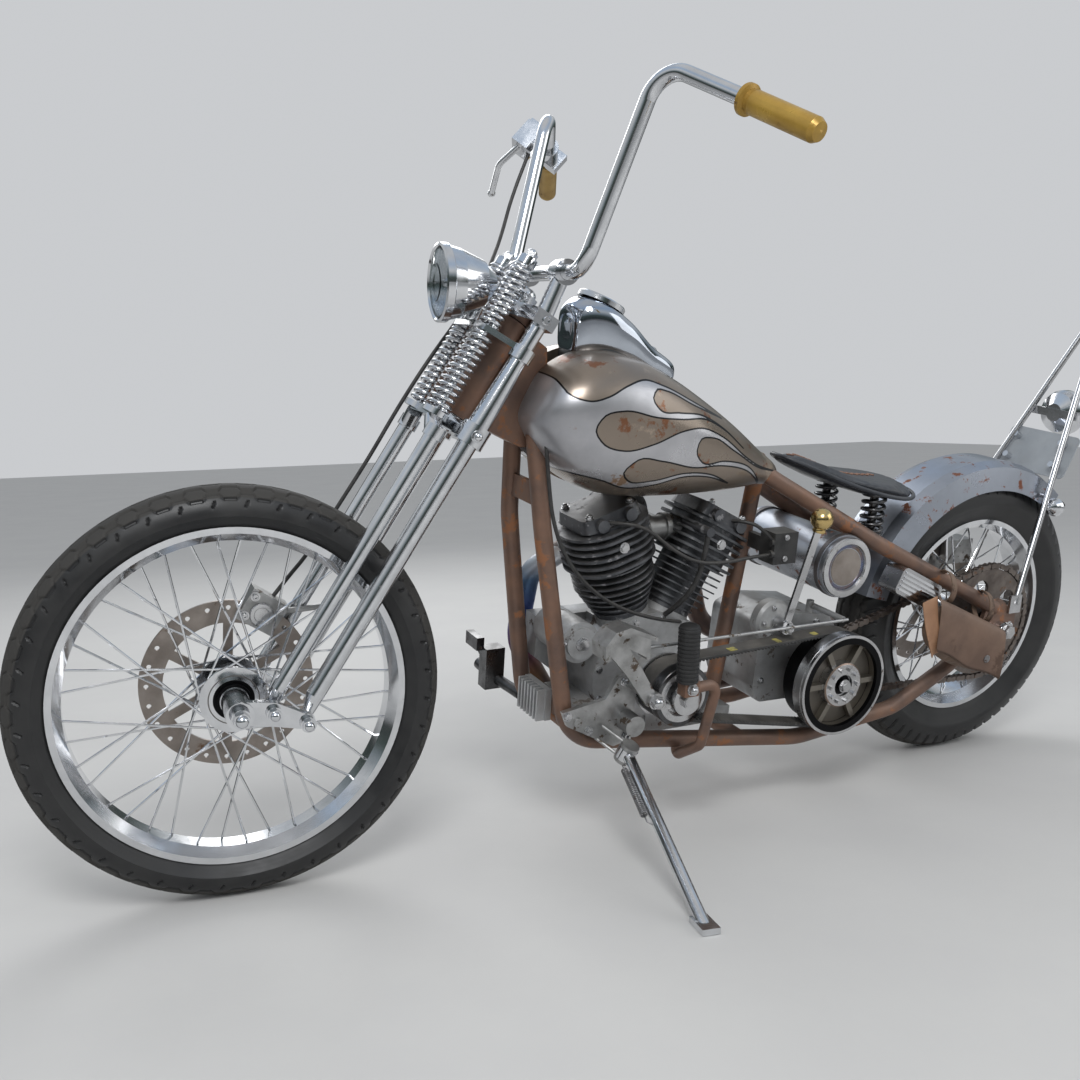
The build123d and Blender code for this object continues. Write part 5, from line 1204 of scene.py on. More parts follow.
@dataclass
class Tyre:
    """A tyre's ring with its grooves cut by formula."""

    name: str
    radius: float
    width: float
    rim_radius: float
    rim_width: float
    tread: Tread
    placing: Placing
    centre: Point
    body: str
    bead_drop: float = 6.3
    side_inset: float = 4.0
    worn_depth: float = 17.0
    worn_colour: Colour = (0.04, 0.038, 0.035)
    steps: int = 1080
    rows: int = 54

    def build(self) -> None:
        """The ring: an arc over the crown, straight sides to the rim and a flat bead, with its tread."""
        crown = self.width / 2
        hub = self.radius - crown
        bead = self.rim_radius - self.bead_drop
        phi = np.linspace(-np.pi / 2, np.pi / 2, self.rows)
        side_y = self.rim_width / 2 - self.side_inset
        share = np.linspace(0, 1, 8)[1:-1]
        down_r = hub + (self.rim_radius - hub) * share
        ridges = 0.9 * np.exp(-((share - 0.72) / 0.06) ** 2) + 0.7 * np.exp(-((share - 0.4) / 0.05) ** 2)
        down_y = crown + (side_y - crown) * share + ridges
        r = np.concatenate([hub + crown * np.cos(phi), down_r, [self.rim_radius, bead, bead, self.rim_radius],
                            down_r[::-1]])
        y = np.concatenate([crown * np.sin(phi), down_y, [side_y, side_y, -side_y, -side_y], -down_y[::-1]])
        spin = circle(self.steps)[:, None]
        depth = self.grooves(spin * self.radius, phi * crown)
        reach, across = (np.tile(line, (self.steps, 1)) for line in (r, y))
        reach[:, :self.rows] -= depth * np.cos(phi)
        across[:, :self.rows] -= depth * np.sin(phi)
        points = np.stack([reach * np.cos(spin), across, reach * np.sin(spin)], axis=-1)
        form = Form(points.reshape(-1, 3) + np.array(self.centre), grid_faces(self.steps, len(r), True, True))
        worn = Band(self.radius - self.worn_depth, self.radius + 5, -self.width, self.width,
                    self.worn_colour, 0.78)
        rubber = banded(TYRE_RUBBER, f"{self.name}_rubber", self.centre, (worn,), self.placing)
        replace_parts(show(f"{self.name}_tread", form, rubber, 30, self.placing, self.body), self.name)

    def grooves(self, run: Array, over: Array) -> Array:
        """How deep the tread is cut at each point, in millimetres.

        Args:
            run: The distance round the crown.
            over: The distance across the crown from its middle.

        Returns:
            The depth: lines that follow a wave round the tyre, and cuts over its shoulders.
        """
        pitch = 2 * np.pi * self.radius / (40 if self.tread is Tread.ZIGZAG else 60)
        wave = 2 * np.abs((run / pitch) % 1 - 0.5) - 0.5
        side = np.abs(over)
        if self.tread is Tread.ZIGZAG:
            stepped = np.clip(7 * wave, -1, 1)
            band = soft_step(side, 44, 46) * (1 - soft_step(side, 55, 58))
            slant = ((run + 0.55 * side) / pitch) % 1
            lines = (groove(over - 4 * stepped, 3.6), groove(side - 20 - 5 * stepped, 4.4),
                     groove(side - 38 + 5 * stepped, 4.2), groove((slant - 0.5) * pitch, 3.6) * band)
            return 3.2 * np.maximum.reduce(np.broadcast_arrays(*lines))
        band = soft_step(side, 36, 39) * (1 - soft_step(side, 74, 78))
        slant = ((run - 0.5 * side) / pitch) % 1
        lines = (groove(side - 12 - 4 * wave, 4.0), groove(side - 34 - 5 * wave, 4.5),
                 groove((slant - 0.5) * pitch, 6.0) * band)
        return 3.6 * np.maximum.reduce(np.broadcast_arrays(*lines))


def loop_line(first: Point, first_r: float, second: Point, second_r: float,
              count: int) -> tuple[Array, Array]:
    """Even stations round two wheels and the runs between them, in the (x, z) plane.

    Args:
        first: The first wheel's centre.
        first_r: Its radius.
        second: The second wheel's centre.
        second_r: Its radius.
        count: The number of stations.

    Returns:
        The stations and the outward direction at each.
    """
    a, b = np.asarray(first, float), np.asarray(second, float)
    tilt = math.atan2(*(b - a)[::-1])
    wrap = math.acos((first_r - second_r) / np.linalg.norm(b - a))
    stations = even_loop(np.vstack([a + arc(first_r, tilt + wrap, tilt + 2 * np.pi - wrap, 400),
                                    b + arc(second_r, tilt - wrap, tilt + wrap, 400)]), count)
    tangent = unit(np.roll(stations, -1, axis=0) - np.roll(stations, 1, axis=0))
    return stations, np.column_stack([tangent[:, 1], -tangent[:, 0]])


@dataclass
class Drive:
    """The open belt, and the chain with its links."""

    crank: tuple[float, float] = (853.0, 300.0)
    clutch: tuple[float, float] = (472.0, 272.0)
    hub: tuple[float, float] = (0.0, 325.0)
    pulley_r: float = 58.0
    clutch_r: float = 102.0
    belt_y: float = 126.5
    belt_half: float = 19.0
    belt_thick: float = 4.6
    tooth_deep: float = 3.0
    wheel_face: float = 169.0
    sprocket_r: float = 58.0
    rear_r: float = 128.0
    chain_y: float = 88.0
    links: int = 106
    teeth: int = 158
    worn_marks: tuple[tuple[float, float, float], ...] = ((0.34, 17, 16), (0.62, 11, 20), (0.86, 14, 14))

    def belt(self) -> None:
        """A flat band with soft edges, whose inner side carries a square tooth at every sixth station."""
        per_tooth, edge, inset = 6, 0.8, 0.2
        stations, out = loop_line(self.crank, self.pulley_r - inset, self.clutch, self.clutch_r - inset,
                                  self.teeth * per_tooth)
        tooth = np.isin(np.arange(len(stations)) % per_tooth, (1, 2, 3))
        inner = -self.belt_thick - self.tooth_deep * tooth
        outer = np.zeros(len(stations))
        y = np.array([-1, -0.97, 0.97, 1, 1, 0.97, -0.97, -1]) * self.belt_half + self.belt_y
        offset = np.stack([outer - edge, outer, outer, outer - edge,
                           inner + edge, inner, inner, inner + edge], axis=1)
        x, z = np.moveaxis(stations[:, None, :] + offset[:, :, None] * out[:, None, :], -1, 0)
        points = np.stack(np.broadcast_arrays(x, y, z), axis=-1).reshape(-1, 3)
        form = Form(points, grid_faces(len(stations), 8, True, True))
        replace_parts(show("toothed_belt", form, BELT_RUBBER, 30), "primary_belt")

    def marks(self) -> None:
        """Worn yellow marks on the belt's upper run, each by its share of the run, length and width."""
        worn = Finish("belt_mark_yellow", (0.50, 0.43, 0.10), (0.34, 0.31, 0.12), 0.0, (0.6, 0.8), 90,
                      (0.08, 0.08, 0.07), 0.52, 120, bump=0.1)
        start = np.array([self.crank[0], self.belt_y + 6, self.crank[1] + self.pulley_r + 0.3])
        end = np.array([self.clutch[0], self.belt_y + 6, self.clutch[1] + self.clutch_r + 0.3])
        slope = unit(end - start)
        marks = [prism(round_rectangle(length, across, 1.5, 3), -0.2, 0.35)
                 .moved(start + (end - start) * share, axes_for(np.cross(slope, LEFT), slope))
                 for share, length, across in self.worn_marks]
        show("belt_marks", joined(marks), worn, FLAT)

    def wheel_rings(self) -> None:
        """The clutch drum's bare wall and the front pulley's ring, outside the belt."""
        low, high, wall = self.belt_y + self.belt_half + 1, self.wheel_face, 9
        for name, (x, z), outer, finish in (("clutch_drum_wall", self.clutch, 103.4, BRIGHT_ALLOY),
                                            ("front_pulley_ring", self.crank, 58.5, DARK_STEEL)):
            rows = ((outer - wall, low), (outer - 1, low), (outer, low + 1),
                    (outer, high - 1), (outer - 1, high), (outer - wall, high))
            show(name, lathe(rows, 96, True).moved((x, 0, z), axes_for(LEFT)), finish)

    def chain(self) -> None:
        """Pairs of waisted plates, outer and inner in turn, with a roller and a pin at every joint."""
        pins, _ = loop_line(self.clutch, self.sprocket_r, self.hub, self.rear_r, self.links)
        after = np.roll(pins, -1, axis=0)
        pitch = float(np.linalg.norm(after - pins, axis=1).mean())
        end = arc(6.2, np.pi / 3, 5 * np.pi / 3, 9)
        waist = np.array([[pitch / 2, -4.2]])
        outline = np.vstack([end, waist, -end + [pitch, 0], -waist + [pitch, 0]])
        roller = lathe(((0, -7), (2.2, -7), (2.2, -3.4), (5, -3.4),
                        (5, 3.4), (2.2, 3.4), (2.2, 7), (0, 7)), 10)
        parts = []
        for index, (here, there) in enumerate(zip(pins, after)):
            at = (here[0], self.chain_y, here[1])
            axes = axes_for(LEFT, (there[0] - here[0], 0, there[1] - here[1]))
            near = 5.2 if index % 2 == 0 else 3.4
            parts += [prism(outline, low, low + 1.6).moved(at, axes) for low in (-near - 1.6, near)]
            parts.append(roller.moved(at, axes))
        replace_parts(show("roller_chain", joined(parts), CHAIN_STEEL, 30), "final_chain")

    def build(self) -> None:
        """Belt, wheels and chain."""
        self.belt()
        self.wheel_rings()
        self.marks()
        self.chain()


@dataclass
class Springs:
    """The fork's four springs and the seat's two."""

    spring_n: float = 46.0
    spring_y: float = 56.0
    perch: float = 566.3
    bracket: float = 711.7
    above: float = 722.3
    top: float = 837.7
    radius: float = 17.6
    wire: float = 6.6
    fork_turns: tuple[float, float] = (13, 11)
    seat_foot: tuple[float, float, float] = (352.0, 70.0, 543.3)
    seat_high: float = 94.0
    seat_radius: float = 21.5
    seat_wire: float = 7.5
    seat_turns: float = 6.5
    post_radius: float = 9.0
    post_high: float = 88.0

    def build(self) -> None:
        """Each spring a wire wound on a helix, in place of the CAD's ridged stacks."""
        fork, seat = [], []
        x, y, z = self.seat_foot
        for side in (1, -1):
            at = (self.spring_n, side * self.spring_y)
            for low, high, turns, radius in ((self.perch, self.bracket, self.fork_turns[0], self.radius),
                                             (self.above, self.top, self.fork_turns[1], self.radius - 0.6)):
                fork.append(coil((*at, low), UP, high - low, turns, radius, self.wire))
            foot = (x, side * y, z)
            wound = (self.seat_high, self.seat_turns, self.seat_radius, self.seat_wire)
            seat.append(coil(foot, UP, *wound, 0.8))
            seat.append(cylinder(self.post_radius, 0, self.post_high, 16).moved(foot))
        coils = show("fork_coils", joined(fork), CHROME, ALL_SMOOTH, Placing.FORK, "fork")
        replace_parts(coils, "fork_springs")
        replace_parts(show("seat_coils", joined(seat), DARK_STEEL, 60), "seat_springs")


@dataclass(frozen=True)
class Cord:
    """A held line by the points of its route, in millimetres."""

    node: str
    routes: tuple[tuple[Point, ...], ...]
    diameter: float = 7.0
    placing: Placing = Placing.MACHINE
    body: str = "frame"

    def build(self) -> None:
        """One smooth NURBS line for each route, with the route's points as its control points."""
        name = f"{self.node}_black"
        data = bpy.data.curves.new(name, "CURVE")
        data.dimensions = "3D"
        data.bevel_depth = self.diameter / 2 * MM
        data.bevel_resolution = 5
        data.use_fill_caps = True
        data.resolution_u = 12
        for route in self.routes:
            spline = data.splines.new("NURBS")
            spline.points.add(len(route) - 1)
            where = placed(np.array(route, float), self.placing)
            spline.points.foreach_set("co", np.column_stack([where, np.ones(len(where))]).ravel())
            spline.order_u = 3
            spline.use_endpoint_u = True
        data.materials.append(BLACK_SLEEVE.material())
        piece = bpy.data.objects.new(name, data)
        bpy.context.scene.collection.objects.link(piece)
        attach(piece, self.body)
        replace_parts(piece, self.node)
        LOG.info("laid %s", name)


CORDS = (
    Cord("spark_leads", (
        ((985, 48, 604), (950, 87, 612), (908, 99, 598), (864, 104, 562), (806, 109, 531), (738, 109, 527),
         (672, 101, 531), (620, 92, 529)),
        ((704, 40, 588), (676, 82, 597), (644, 97, 577), (618, 91, 553)),
    )),
    Cord("control_cable", (
        ((1121, 82, 757), (1117, 92, 690), (1104, 94, 620), (1072, 93, 553), (1016, 92, 492), (950, 92, 452),
         (880, 90, 427), (815, 72, 408), (776, 40, 392)),
    )),
    Cord("oil_hose", (
        ((778, 97, 586), (783, 98, 530), (797, 94, 478), (818, 68, 432), (832, 40, 405)),
    ), 10.0),
    Cord("brake_hose", (
        ((38, -352, 1112), (28, -338, 1028), (14, -296, 938), (22, -228, 872), (34, -158, 810),
         (50, -110, 735), (61, -98, 645), (63, -100, 545), (61, -98, 445), (63, -100, 345),
         (65, -97, 252), (80, -76, 196), (89, -61, 152)),
    ), 7.0, Placing.FORK, "fork"),
)


def softened(piece: bpy.types.Object, thickness: float = 0.0) -> None:
    """Round a piece by one subdivision, after a sheet has been given its thickness in millimetres."""
    if thickness > 0:
        solid = piece.modifiers.new("hide", "SOLIDIFY")
        solid.thickness, solid.offset = thickness * MM, 0.0
    smooth = piece.modifiers.new("smooth", "SUBSURF")
    smooth.levels = smooth.render_levels = 1


def settle(piece: bpy.types.Object) -> None:
    """Apply what modifiers a piece has, into its own mesh."""
    shown = piece.evaluated_get(bpy.context.evaluated_depsgraph_get())
    mesh = bpy.data.meshes.new_from_object(shown)
    piece.modifiers.clear()
    old = piece.data
    piece.data = mesh
    mesh.name = old.name
    bpy.data.meshes.remove(old)


def puffed(piece: bpy.types.Object, cap: float, pressure: float = 4.0, voxel: float = 0.005) -> None:
    """Fill a closed soft piece with air for twenty frames and keep its shape.

    Args:
        piece: The closed shell.
        cap: The farthest that a point may move, in metres.
        pressure: The cloth's inner pressure.
        voxel: The size of the even mesh it is first made into.
    """
    scene = bpy.context.scene
    remesh = piece.modifiers.new("even", "REMESH")
    remesh.mode = "VOXEL"
    remesh.voxel_size = voxel
    remesh.use_smooth_shade = True
    settle(piece)
    before = np.empty(3 * len(piece.data.vertices))
    after = before.copy()
    piece.data.vertices.foreach_get("co", before)
    cloth = piece.modifiers.new("air", "CLOTH")
    cloth.settings.use_pressure = True
    cloth.settings.uniform_pressure_force = pressure
    cloth.settings.effector_weights.gravity = 0.0
    cloth.settings.quality = 5
    for number in range(1, 21):
        scene.frame_set(number)
    shown = piece.evaluated_get(bpy.context.evaluated_depsgraph_get())
    shown.data.vertices.foreach_get("co", after)
    piece.modifiers.remove(cloth)
    scene.frame_set(1)
    move = (after - before).reshape(-1, 3)
    length = np.linalg.norm(move, axis=1, keepdims=True)
    move *= np.minimum(1, cap / np.maximum(length, 1e-9))
    piece.data.vertices.foreach_set("co", before + move.ravel())
    piece.data.update()
    softened(piece)


@dataclass
class Seat:
    """The solo seat: a thin leather pad with piping round its edge and laces down its middle.

    A section is its place, bottom, top and half width.
    """

    sections: tuple[tuple[float, ...], ...] = (
        (235, 620, 648, 78), (300, 618, 650, 116), (400, 636, 664, 106),
        (480, 664, 690, 70), (560, 696, 712, 34),
    )
    span: tuple[float, float] = (236.0, 559.0)
    middle: float = 397.5
    reach: float = 162.5
    inset: float = 5.0
    dip: float = 5.0
    stations: int = 60
    around: int = 72

    def build(self) -> None:
        """The pad as flat ovals along the seat, swollen with air, then the piping round its widest line."""
        x = np.linspace(self.span[0] + self.inset, self.span[1] - self.inset, self.stations)[:, None]
        bottom, top, half = smooth_table(np.array(self.sections, float), x[:, 0]).T[:, :, None]
        edge = half * np.sqrt(1 - np.abs((x - self.middle) / self.reach) ** 9)
        angle = circle(self.around)
        wide = (edge - self.inset) * powered(np.cos(angle), 0.6)
        thick = ((top - bottom) / 2 - self.inset + 2) * powered(np.sin(angle), 0.75)
        hollow = self.dip * (1 - (wide / half) ** 2) * (np.sin(angle) > 0)
        along = np.sin((x - x[0]) / (x[-1] - x[0]) * np.pi)
        form = skin(x, wide, (top + bottom) / 2 + thick - hollow * along)
        pad = show("seat_pad", form, SEAT_HIDE, ALL_SMOOTH)
        puffed(pad, 0.006)
        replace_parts(pad, "seat")
        left = np.hstack([x, edge - 1.5, bottom + 8])
        path = np.vstack([left, left[::-1] * [1, -1, 1], left[:2]])
        show("seat_piping", tube(path, 4.2), SEAT_HIDE, ALL_SMOOTH)
        bpy.context.view_layer.update()
        self.lacing(pad)

    def lacing(self, pad: bpy.types.Object) -> None:
        """Short leather laces across the middle seam, each laid on the pad where a plumb line meets it."""
        above, below = placed(np.array([(0, 0, 0), (0, 0, -1.0)]), Placing.MACHINE)
        way = Vector((below - above) / MM).normalized()
        cross = np.array([(x, side * 7.0, 800.0) for x in np.linspace(300, 520, 16) for side in (1, -1)])
        cross[1::2, 0] += 7
        starts = placed(cross, Placing.MACHINE)
        sunk = 0.0012
        laces = []
        for first, second in zip(starts[0::2], starts[1::2]):
            hits = [pad.ray_cast(Vector(at), way)[:2] for at in (first, (first + second) / 2, second)]
            if all(found for found, _ in hits):
                path = np.array([tuple(spot - way * sunk) for _, spot in hits]) / MM
                laces.append(tube(path, 1.5, 8, (0.9, 0.1, 0.2)))
        show("seat_lacing", joined(laces), LACING, ALL_SMOOTH, Placing.PARKED)


@dataclass
class ToolBag:
    """A leather roll bag on the left stay: a sagging shell, a tan panel and tongue, and two clamp straps."""

    outline: tuple[tuple[float, float], ...] = (
        (232, 438), (30, 346), (8, 300), (24, 236), (196, 262), (296, 362),
    )
    near: float = 151.0
    far: float = 187.0
    inset: float = 5.0
    panel_thick: float = 2.4
    tongue_thick: float = 2.6
    strap_places: tuple[tuple[float, float], ...] = ((196, 441), (74, 386))
    strap_width: float = 16.0
    strap_thick: float = 2.2
    button_at: Point = (92.0, 190.4, 286.0)

    def shell(self) -> Form:
        """Rings shrink from the rim to the middle on both sides, and each side swells as they shrink."""
        rim = even_loop(rounded(np.array(self.outline, float), 4), 96)
        rim -= self.inset * unit(rim - rim.mean(axis=0))
        share = np.linspace(1, 0.04, 22)
        swell = ((self.far - self.near) / 2 - 3) * (1 - share**6) ** 0.55
        scale = np.concatenate([share[::-1], share[1:]])[:, None]
        height = np.concatenate([swell[::-1], -swell[1:]])[:, None]
        x, z = (line.mean() + (line - line.mean()) * scale for line in rim.T)
        return skin(x, (self.near + self.far) / 2 + height, z)

    def strip(self, path: Array, width: float, thick: float, across: Point) -> Form:
        """A leather strip along a path: each section is a flat rectangle across it."""
        side = np.asarray(across, float)
        rise = unit(np.cross(unit(np.gradient(path, axis=0)), side)) * thick / 2
        side = side * width / 2
        corners = [path + side + rise, path - side + rise, path - side - rise, path + side - rise]
        return skin(*np.moveaxis(np.stack(corners, axis=1), -1, 0))

    def sheet(self, name: str, points: Array, finish: Finish, thickness: float) -> None:
        """A sheet of leather through a grid of points."""
        form = Form(points.reshape(-1, 3), grid_faces(*points.shape[:2]))
        softened(show(name, form, finish, ALL_SMOOTH), thickness)

    def panel(self) -> None:
        """A tan panel that bends over the bag's top edge and hangs, a little wavy, down its outer side."""
        share = np.linspace(0, 1, 24)[:, None, None]
        edge = np.array([240, 168, 430]) - share * np.array([210, 0, 92])
        drop = np.array([(0, 0, 0), (6, 17, -2), (8, 21.5, -18), (7, 23, -60), (6, 21.5, -112)])
        wave = np.array([0, 0, 0, 1, 2])[:, None] * np.array([0, 0.6, 2.0]) * np.sin(share * np.pi * 3)
        self.sheet("bag_flap", edge + drop + wave, PANEL_HIDE, self.panel_thick)

    def tongue(self) -> None:
        """A tan tongue that has come loose at the bag's front and curls outwards."""
        share = np.linspace(0, 1, 22)[:, None]
        side = np.linspace(-1, 1, 12)[None, :]
        x = 262 + 12 * np.sin(share * np.pi) - 26 * share + 20 * side * (1 - 0.35 * share)
        y = 170 + 15 * np.sin(share * 2.4) + 7 * side**2 * share
        z = 428 - 118 * share - 6 * side
        self.sheet("bag_tongue", np.stack([x, y, z], axis=-1), TAN_HIDE, self.tongue_thick)

    def build(self) -> None:
        """The shell, swollen a little, then its panel, tongue, straps and button."""
        shell = show("bag_shell", self.shell(), BAG_HIDE, ALL_SMOOTH)
        puffed(shell, 0.005, 3.0)
        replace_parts(shell, "tool_bag")
        self.panel()
        self.tongue()
        angle = np.linspace(0, 2 * np.pi, 40)[:, None]
        loop = np.cos(angle) * (4, 27, 0) + np.sin(angle) * (0, 0, 33)
        straps = [self.strip(loop + (x, 146, z), self.strap_width, self.strap_thick, (0.92, 0, 0.39))
                  for x, z in self.strap_places]
        show("bag_straps", joined(straps), BAG_HIDE, 40)
        button = lathe(((0, 0), (9, 0), (8.4, 3), (5, 4.6), (0, 5)), 24)
        show("bag_button", button.moved(self.button_at, axes_for(LEFT)), DULL_CHROME, 40)


@dataclass
class Fasteners:
    """Bolt heads, nuts and caps where the machine shows them, by body.

    A row of left_side or fork_sides is the place, the size and the head.
    """

    crank: Point = (853.0, 0.0, 300.0)
    cylinder_leans: tuple[float, float] = (18.5, -26.5)
    cover_high: float = 342.0
    cover_bolts: tuple[float, float] = (43.2, 44.0)
    side_bolt_high: float = 280.0
    side_bolt: tuple[float, float] = (6.0, 79.5)
    primary_y: float = 74.3
    primary_face: tuple[tuple[float, float], ...] = (
        (420, 250), (420, 330), (470, 372), (560, 378), (592, 340), (596, 260),
    )
    left_side: tuple[tuple[Point, float, Head], ...] = (
        ((1062, 115.4, 270), 8, Head.HEX), ((1016, 115.4, 236), 8, Head.HEX),
        ((935, 115.4, 214), 8, Head.SOCKET), ((948, 115.4, 322), 7, Head.SOCKET),
        ((938, 206, 318), 13, Head.ACORN), ((872, 219.3, 336), 10, Head.ACORN),
        ((0, 157, 325), 16, Head.HEX), ((20, 135.4, 372), 7, Head.SOCKET),
        ((-30, 135.4, 330), 7, Head.SOCKET), ((853, 183.5, 300), 16, Head.HEX),
        ((596, 134.3, 392), 12, Head.ACORN), ((472, 178.5, 272), 12, Head.HEX),
        ((592, 98.4, 562), 5, Head.HEX), ((592, 98.4, 520), 5, Head.HEX),
        ((1012, 66.3, 384), 12, Head.HEX),
    )
    rings: tuple[BoltRing, ...] = (
        BoltRing((1012, 58.3, 384), 29, 22, 7, 4, Head.SOCKET),
        BoltRing((853, 52.3, 300), 112, 112, 12, 6, Head.HEX, 0.2),
        BoltRing((596, 101.6, 392), 31, 31, 5, 4.5, Head.SOCKET),
    )
    fork_sides: tuple[tuple[Point, float, Head], ...] = (
        ((-23, 119.3, 35), 11, Head.ACORN), ((33, 119.3, 26), 11, Head.ACORN),
        ((-6, 103.4, 860), 9, Head.ACORN), ((-17, 103.0, 776), 9, Head.SOCKET),
        ((-17, 111.4, 560), 9, Head.ACORN), ((78, 132, 0), 14, Head.ACORN),
    )

    def build(self) -> None:
        """One piece for the machine's fasteners and one for the fork's."""
        parts = [fastener(at, LEFT, size, head) for at, size, head in self.left_side]
        parts.append(fastener((0, -157, 325), RIGHT, 16, Head.HEX))
        for ring in self.rings:
            parts += ring.forms()
        parts += [fastener((x, self.primary_y, z), LEFT, 6, Head.SOCKET) for x, z in self.primary_face]
        for lean in np.radians(self.cylinder_leans):
            axis = np.array([math.sin(lean), 0, math.cos(lean)])
            local = np.array([(axis[2], 0, -axis[0]), LEFT])
            cover = self.crank + axis * self.cover_high
            parts += [fastener(cover + np.multiply(corner, self.cover_bolts) @ local, axis, 7, Head.ACORN)
                      for corner in ((1, 1), (1, -1), (-1, 1), (-1, -1))]
            side = self.crank + axis * self.side_bolt_high + self.side_bolt @ local
            parts.append(fastener(side, LEFT, 9, Head.HEX))
        show("machine_fasteners", joined(parts), BRIGHT_ALLOY, 30)
        parts = [fastener((0, 0, 795.4), UP, 22, Head.ACORN)]
        for side in (1, -1):
            parts += [fastener((ahead, side * out, up), (0, side, 0), size, head)
                      for (ahead, out, up), size, head in self.fork_sides]
            parts.append(fastener((46, side * 56, 852.6), UP, 12, Head.ACORN))
        show("fork_fasteners", joined(parts), CHROME, 30, Placing.FORK, "fork")


@dataclass
class Details:
    """Small trim that the CAD leaves to the looks: plate, lenses, lamp, knob, rubber, rings and bosses."""

    plate_middle: Point = (-188.7, 0.0, 686.3)
    plate_up: Point = (-0.425, 0.0, 0.905)
    plate_size: tuple[float, float] = (184.0, 100.0)
    tail_lamp: Point = (-273.5, 0.0, 770.4)
    marker: tuple[float, float, float] = (-169.4, 96.0, 576.7)
    lamp_centre: Point = (141.0, 0.0, 744.0)
    bowl_radius: float = 54.0
    bowl_deep: float = 34.0
    caliper_boss: tuple[float, float, float] = (94.0, -38.0, 130.0)
    caliper_lugs: tuple[tuple[float, float], ...] = ((-25, 22), (25, 22), (24, -14))
    coil_cover: Point = (272.0, 147.0, 442.3)
    coil_tilt: float = 25.3
    peg_foot: Point = (876.0, 207.0, 347.5)
    peg_way: Point = (6.0, 0.0, 104.0)
    peg_ribs: int = 14
    rib_step: float = 7.4
    stand_pivot: Point = (961.0, 162.0, 205.0)
    stand_foot: Point = (1036.0, 525.0, 88.0)
    oil_cap: tuple[float, float] = (463.0, 500.9)
    knob_at: Point = (556.0, 148.0, 608.0)
    knob_way: Point = (-0.18, 0.0, 1.0)
    knob_radius: float = 21.6

    def number_plate(self) -> None:
        """A blank pressed plate behind the sissy bar, its raised rim a low ring, on four clips."""
        width, height = self.plate_size
        middle, up = np.array(self.plate_middle), unit(np.array(self.plate_up))
        rear = np.array([-up[2], 0, up[0]])
        axes = axes_for(rear)
        outer, inner = round_rectangle(width, height, 12, 8), round_rectangle(width - 8, height - 8, 9, 8)
        x, y = np.moveaxis(np.stack([outer, outer, inner * 1.012, inner]), -1, 0)
        form = skin(x, y, np.array([[-0.8], [1.6], [2.0], [0.6]]))
        paint = Finish("blank_plate_paint", (0.31, 0.34, 0.37), (0.26, 0.285, 0.31), 0.0, (0.35, 0.5), 14,
                       (0.40, 0.38, 0.35), 0.66, 30, dust=0.2, bump=0.03)
        show("blank_plate", form.moved(middle + rear * 9, axes), paint, 30)
        clip = lathe(((0, -11), (7, -11), (7, 10.5), (0, 11.5)), 16)
        clips = [clip.moved(middle + up * along + (0, side, 0), axes)
                 for side in (62, -62) for along in (-26, 26)]
        show("plate_clips", joined(clips), CHROME, 40)

    def lenses(self) -> None:
        """Red domes in the tail lamp and its two markers."""
        axes = axes_for(REAR)
        dome = lathe(((0, -2), (43, -2), (43, 2), (38, 9), (22, 15), (0, 17)), 36)
        marker = lathe(((0, -2), (16, -2), (15, 4), (8, 8), (0, 9)), 24)
        x, y, z = self.marker
        markers = [marker.moved((x, side * y, z), axes) for side in (1, -1)]
        show("red_lenses", joined([dome.moved(self.tail_lamp, axes), *markers]), red_glass(), 40)

    def peg_rubber(self) -> None:
        """Black ribbed rubber over the raised foot peg."""
        ribs = [(r, self.rib_step * rib + up) for rib in range(self.peg_ribs)
                for r, up in ((17.9, 0), (19.8, 1.2), (19.8, 4.2), (17.9, 5.4))]
        form = lathe([(0, -1), *ribs, (18, 104.6), (14, 107), (0, 107.5)], 36)
        show("peg_rubber", form.moved(self.peg_foot, axes_for(self.peg_way)), TYRE_RUBBER, 30)

    def oil_caps(self) -> None:
        """On each end of the oil tank a polished rim, a heat-tinted band and a dull disc."""
        blue = Finish("heat_tint_blue", (0.13, 0.16, 0.26), (0.20, 0.14, 0.10), 0.9, (0.22, 0.34), 26,
                      bump=0.03)
        x, z = self.oil_cap
        for name, finish, inner, outer, rise, base in (("oil_cap_rims", BRIGHT_ALLOY, 46.5, 60.6, 5.2, 132.3),
                                                       ("oil_cap_bands", blue, 38, 47.0, 2.5, 129.0),
                                                       ("oil_cap_discs", DISC_STEEL, 0, 38.4, 3.4, 129.0)):
            if inner > 0:
                rows = ((inner, -0.5), (inner + 1.5, rise * 0.6), ((inner + outer) / 2, rise * 0.8),
                        (outer - 1.5, rise * 0.6), (outer, -0.5))
                form = lathe(rows, 64, True)
            else:
                form = lathe(((0, -0.5), (outer, -0.5), (outer - 1, rise * 0.6), (outer * 0.7, rise),
                              (0, rise * 1.1)), 48)
            pair = [form.moved((x, side * base, z), axes_for((0, side, 0))) for side in (1, -1)]
            show(name, joined(pair), finish, 30)

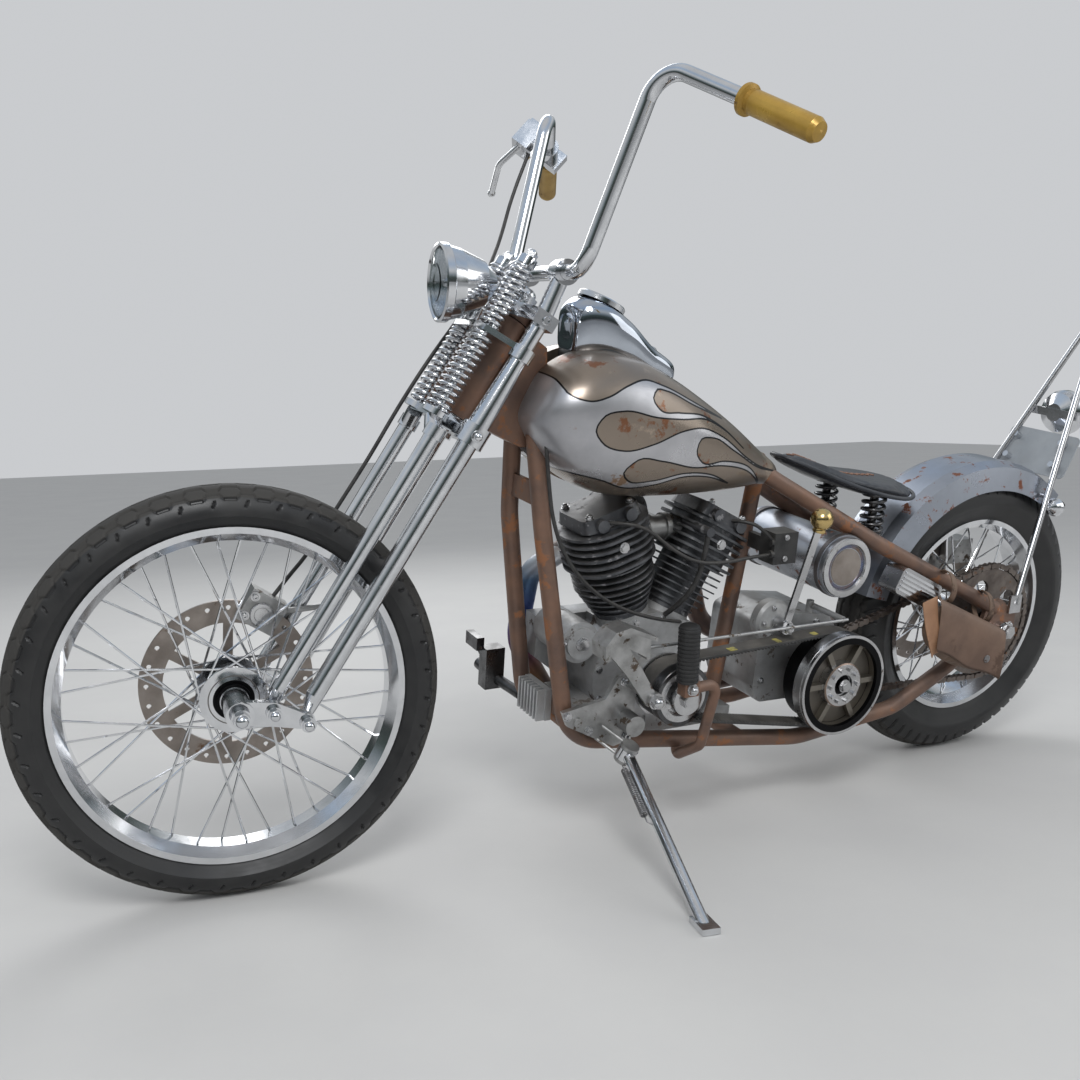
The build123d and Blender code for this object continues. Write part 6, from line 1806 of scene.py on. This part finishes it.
    def lamp_inside(self) -> None:
        """A bulb on its stem inside the headlamp, and a bright reflector behind it."""
        rake = math.radians(STANCE.rake)
        axes = axes_for((math.cos(rake), 0, -math.sin(rake)))
        bowl = [(self.bowl_radius * math.sin(a), -4 - self.bowl_deep * math.cos(a) ** 2)
                for a in np.linspace(0, 1.5, 14)]
        back = [(r + 0.4, h - 1.2) for r, h in bowl[:0:-1]]
        reflector = lathe([*bowl, *back, (0, bowl[0][1] - 1.2)], 48)
        show("lamp_reflector", reflector.moved(self.lamp_centre, axes), CHROME, 60, Placing.FORK, "fork")
        bulb = lathe(((0, -37), (8, -37), (8, -26), (6, -24), (9, -18), (9, -13), (5, -8), (0, -7)), 20)
        show("lamp_bulb", bulb.moved(self.lamp_centre, axes), BRIGHT_ALLOY, 50, Placing.FORK, "fork")

    def knob(self) -> None:
        """The brass knob of the shift lever, a ball with a collar."""
        ball = lathe(arc(self.knob_radius, -np.pi / 2, np.pi / 2, 18), 36)
        collar = lathe(((0, -26), (11, -26), (13, -22), (11, -17), (0, -17)), 24)
        knob = joined([ball, collar]).moved(self.knob_at, axes_for(self.knob_way))
        show("brass_ball_knob", knob, BRASS_KNOB, 60)

    def cast_bosses(self) -> None:
        """The front caliper's round boss with its bolts, and long ribs on the coil's cover."""
        left = axes_for(LEFT)
        boss = lathe(((0, -1), (20, -1), (20, 5), (18.5, 6.5), (13, 6.5), (12, 5), (0, 5)), 36)
        parts = [boss.moved(self.caliper_boss, left)]
        lug_high = 4
        for ahead, up in self.caliper_lugs:
            at = np.add(self.caliper_boss, (ahead, 0, up))
            parts.append(cylinder(8, -1, lug_high).moved(at, left))
            parts.append(fastener(at + (0, lug_high, 0), LEFT, 6, Head.SOCKET))
        show("caliper_bosses", joined(parts), BRIGHT_ALLOY, 40, Placing.FORK, "fork")
        tilt = math.radians(self.coil_tilt)
        along = np.array([math.cos(tilt), 0, math.sin(tilt)])
        up = np.array([-along[2], 0, along[0]])
        rib = prism(round_rectangle(112, 5, 2.4), -1, 2.4)
        ribs = [rib.moved(self.coil_cover + up * step, axes_for(LEFT, along)) for step in range(-18, 19, 9)]
        show("coil_cover_ribs", joined(ribs), CHROME, 40)

    def stand_spring(self) -> None:
        """The side stand's return spring, beside its leg, hooked at both ends."""
        way = unit(np.subtract(self.stand_foot, self.stand_pivot))
        off = np.cross(way, np.cross((1, 0, 0), way))
        start = self.stand_pivot + way * 44 + unit(off) * 19
        parts = [coil(start, way, 110, 26, 5.6, 2.4, 1.0)]
        for near, bend, far in ((104, 124, 136), (6, -10, -20)):
            path = np.array([start + way * near, start + way * bend, start + way * far - off * 14])
            parts.append(tube(path, 1.3, 8, (0.2, 0.9, 0.3)))
        show("stand_spring", joined(parts), DULL_CHROME, ALL_SMOOTH, body="stand")

    def build(self) -> None:
        """All the trim."""
        self.lamp_inside()
        self.knob()
        self.stand_spring()
        self.cast_bosses()
        self.number_plate()
        self.lenses()
        Fasteners().build()
        self.peg_rubber()
        self.oil_caps()


def main() -> None:
    """Build the stage, dress the CAD and add the pieces, in order."""
    bpy.context.scene.view_settings.view_transform = "Standard"
    studio = Studio()
    studio.camera()
    studio.light()
    studio.floor()
    for cord in CORDS:
        cord.build()
    Dressing().dress()
    Tank().build()
    Dash().build()
    Tyre("front_tyre", 345, 90, 281, 66, Tread.ZIGZAG, Placing.FORK, (78, 0, 0), "front_wheel").build()
    Tyre("rear_tyre", 325, 126, 221, 92, Tread.BLOCK, Placing.MACHINE, (0, 0, 325), "rear_wheel").build()
    Springs().build()
    Drive().build()
    Seat().build()
    ToolBag().build()
    Details().build()


if __name__ == "__main__":
    main()
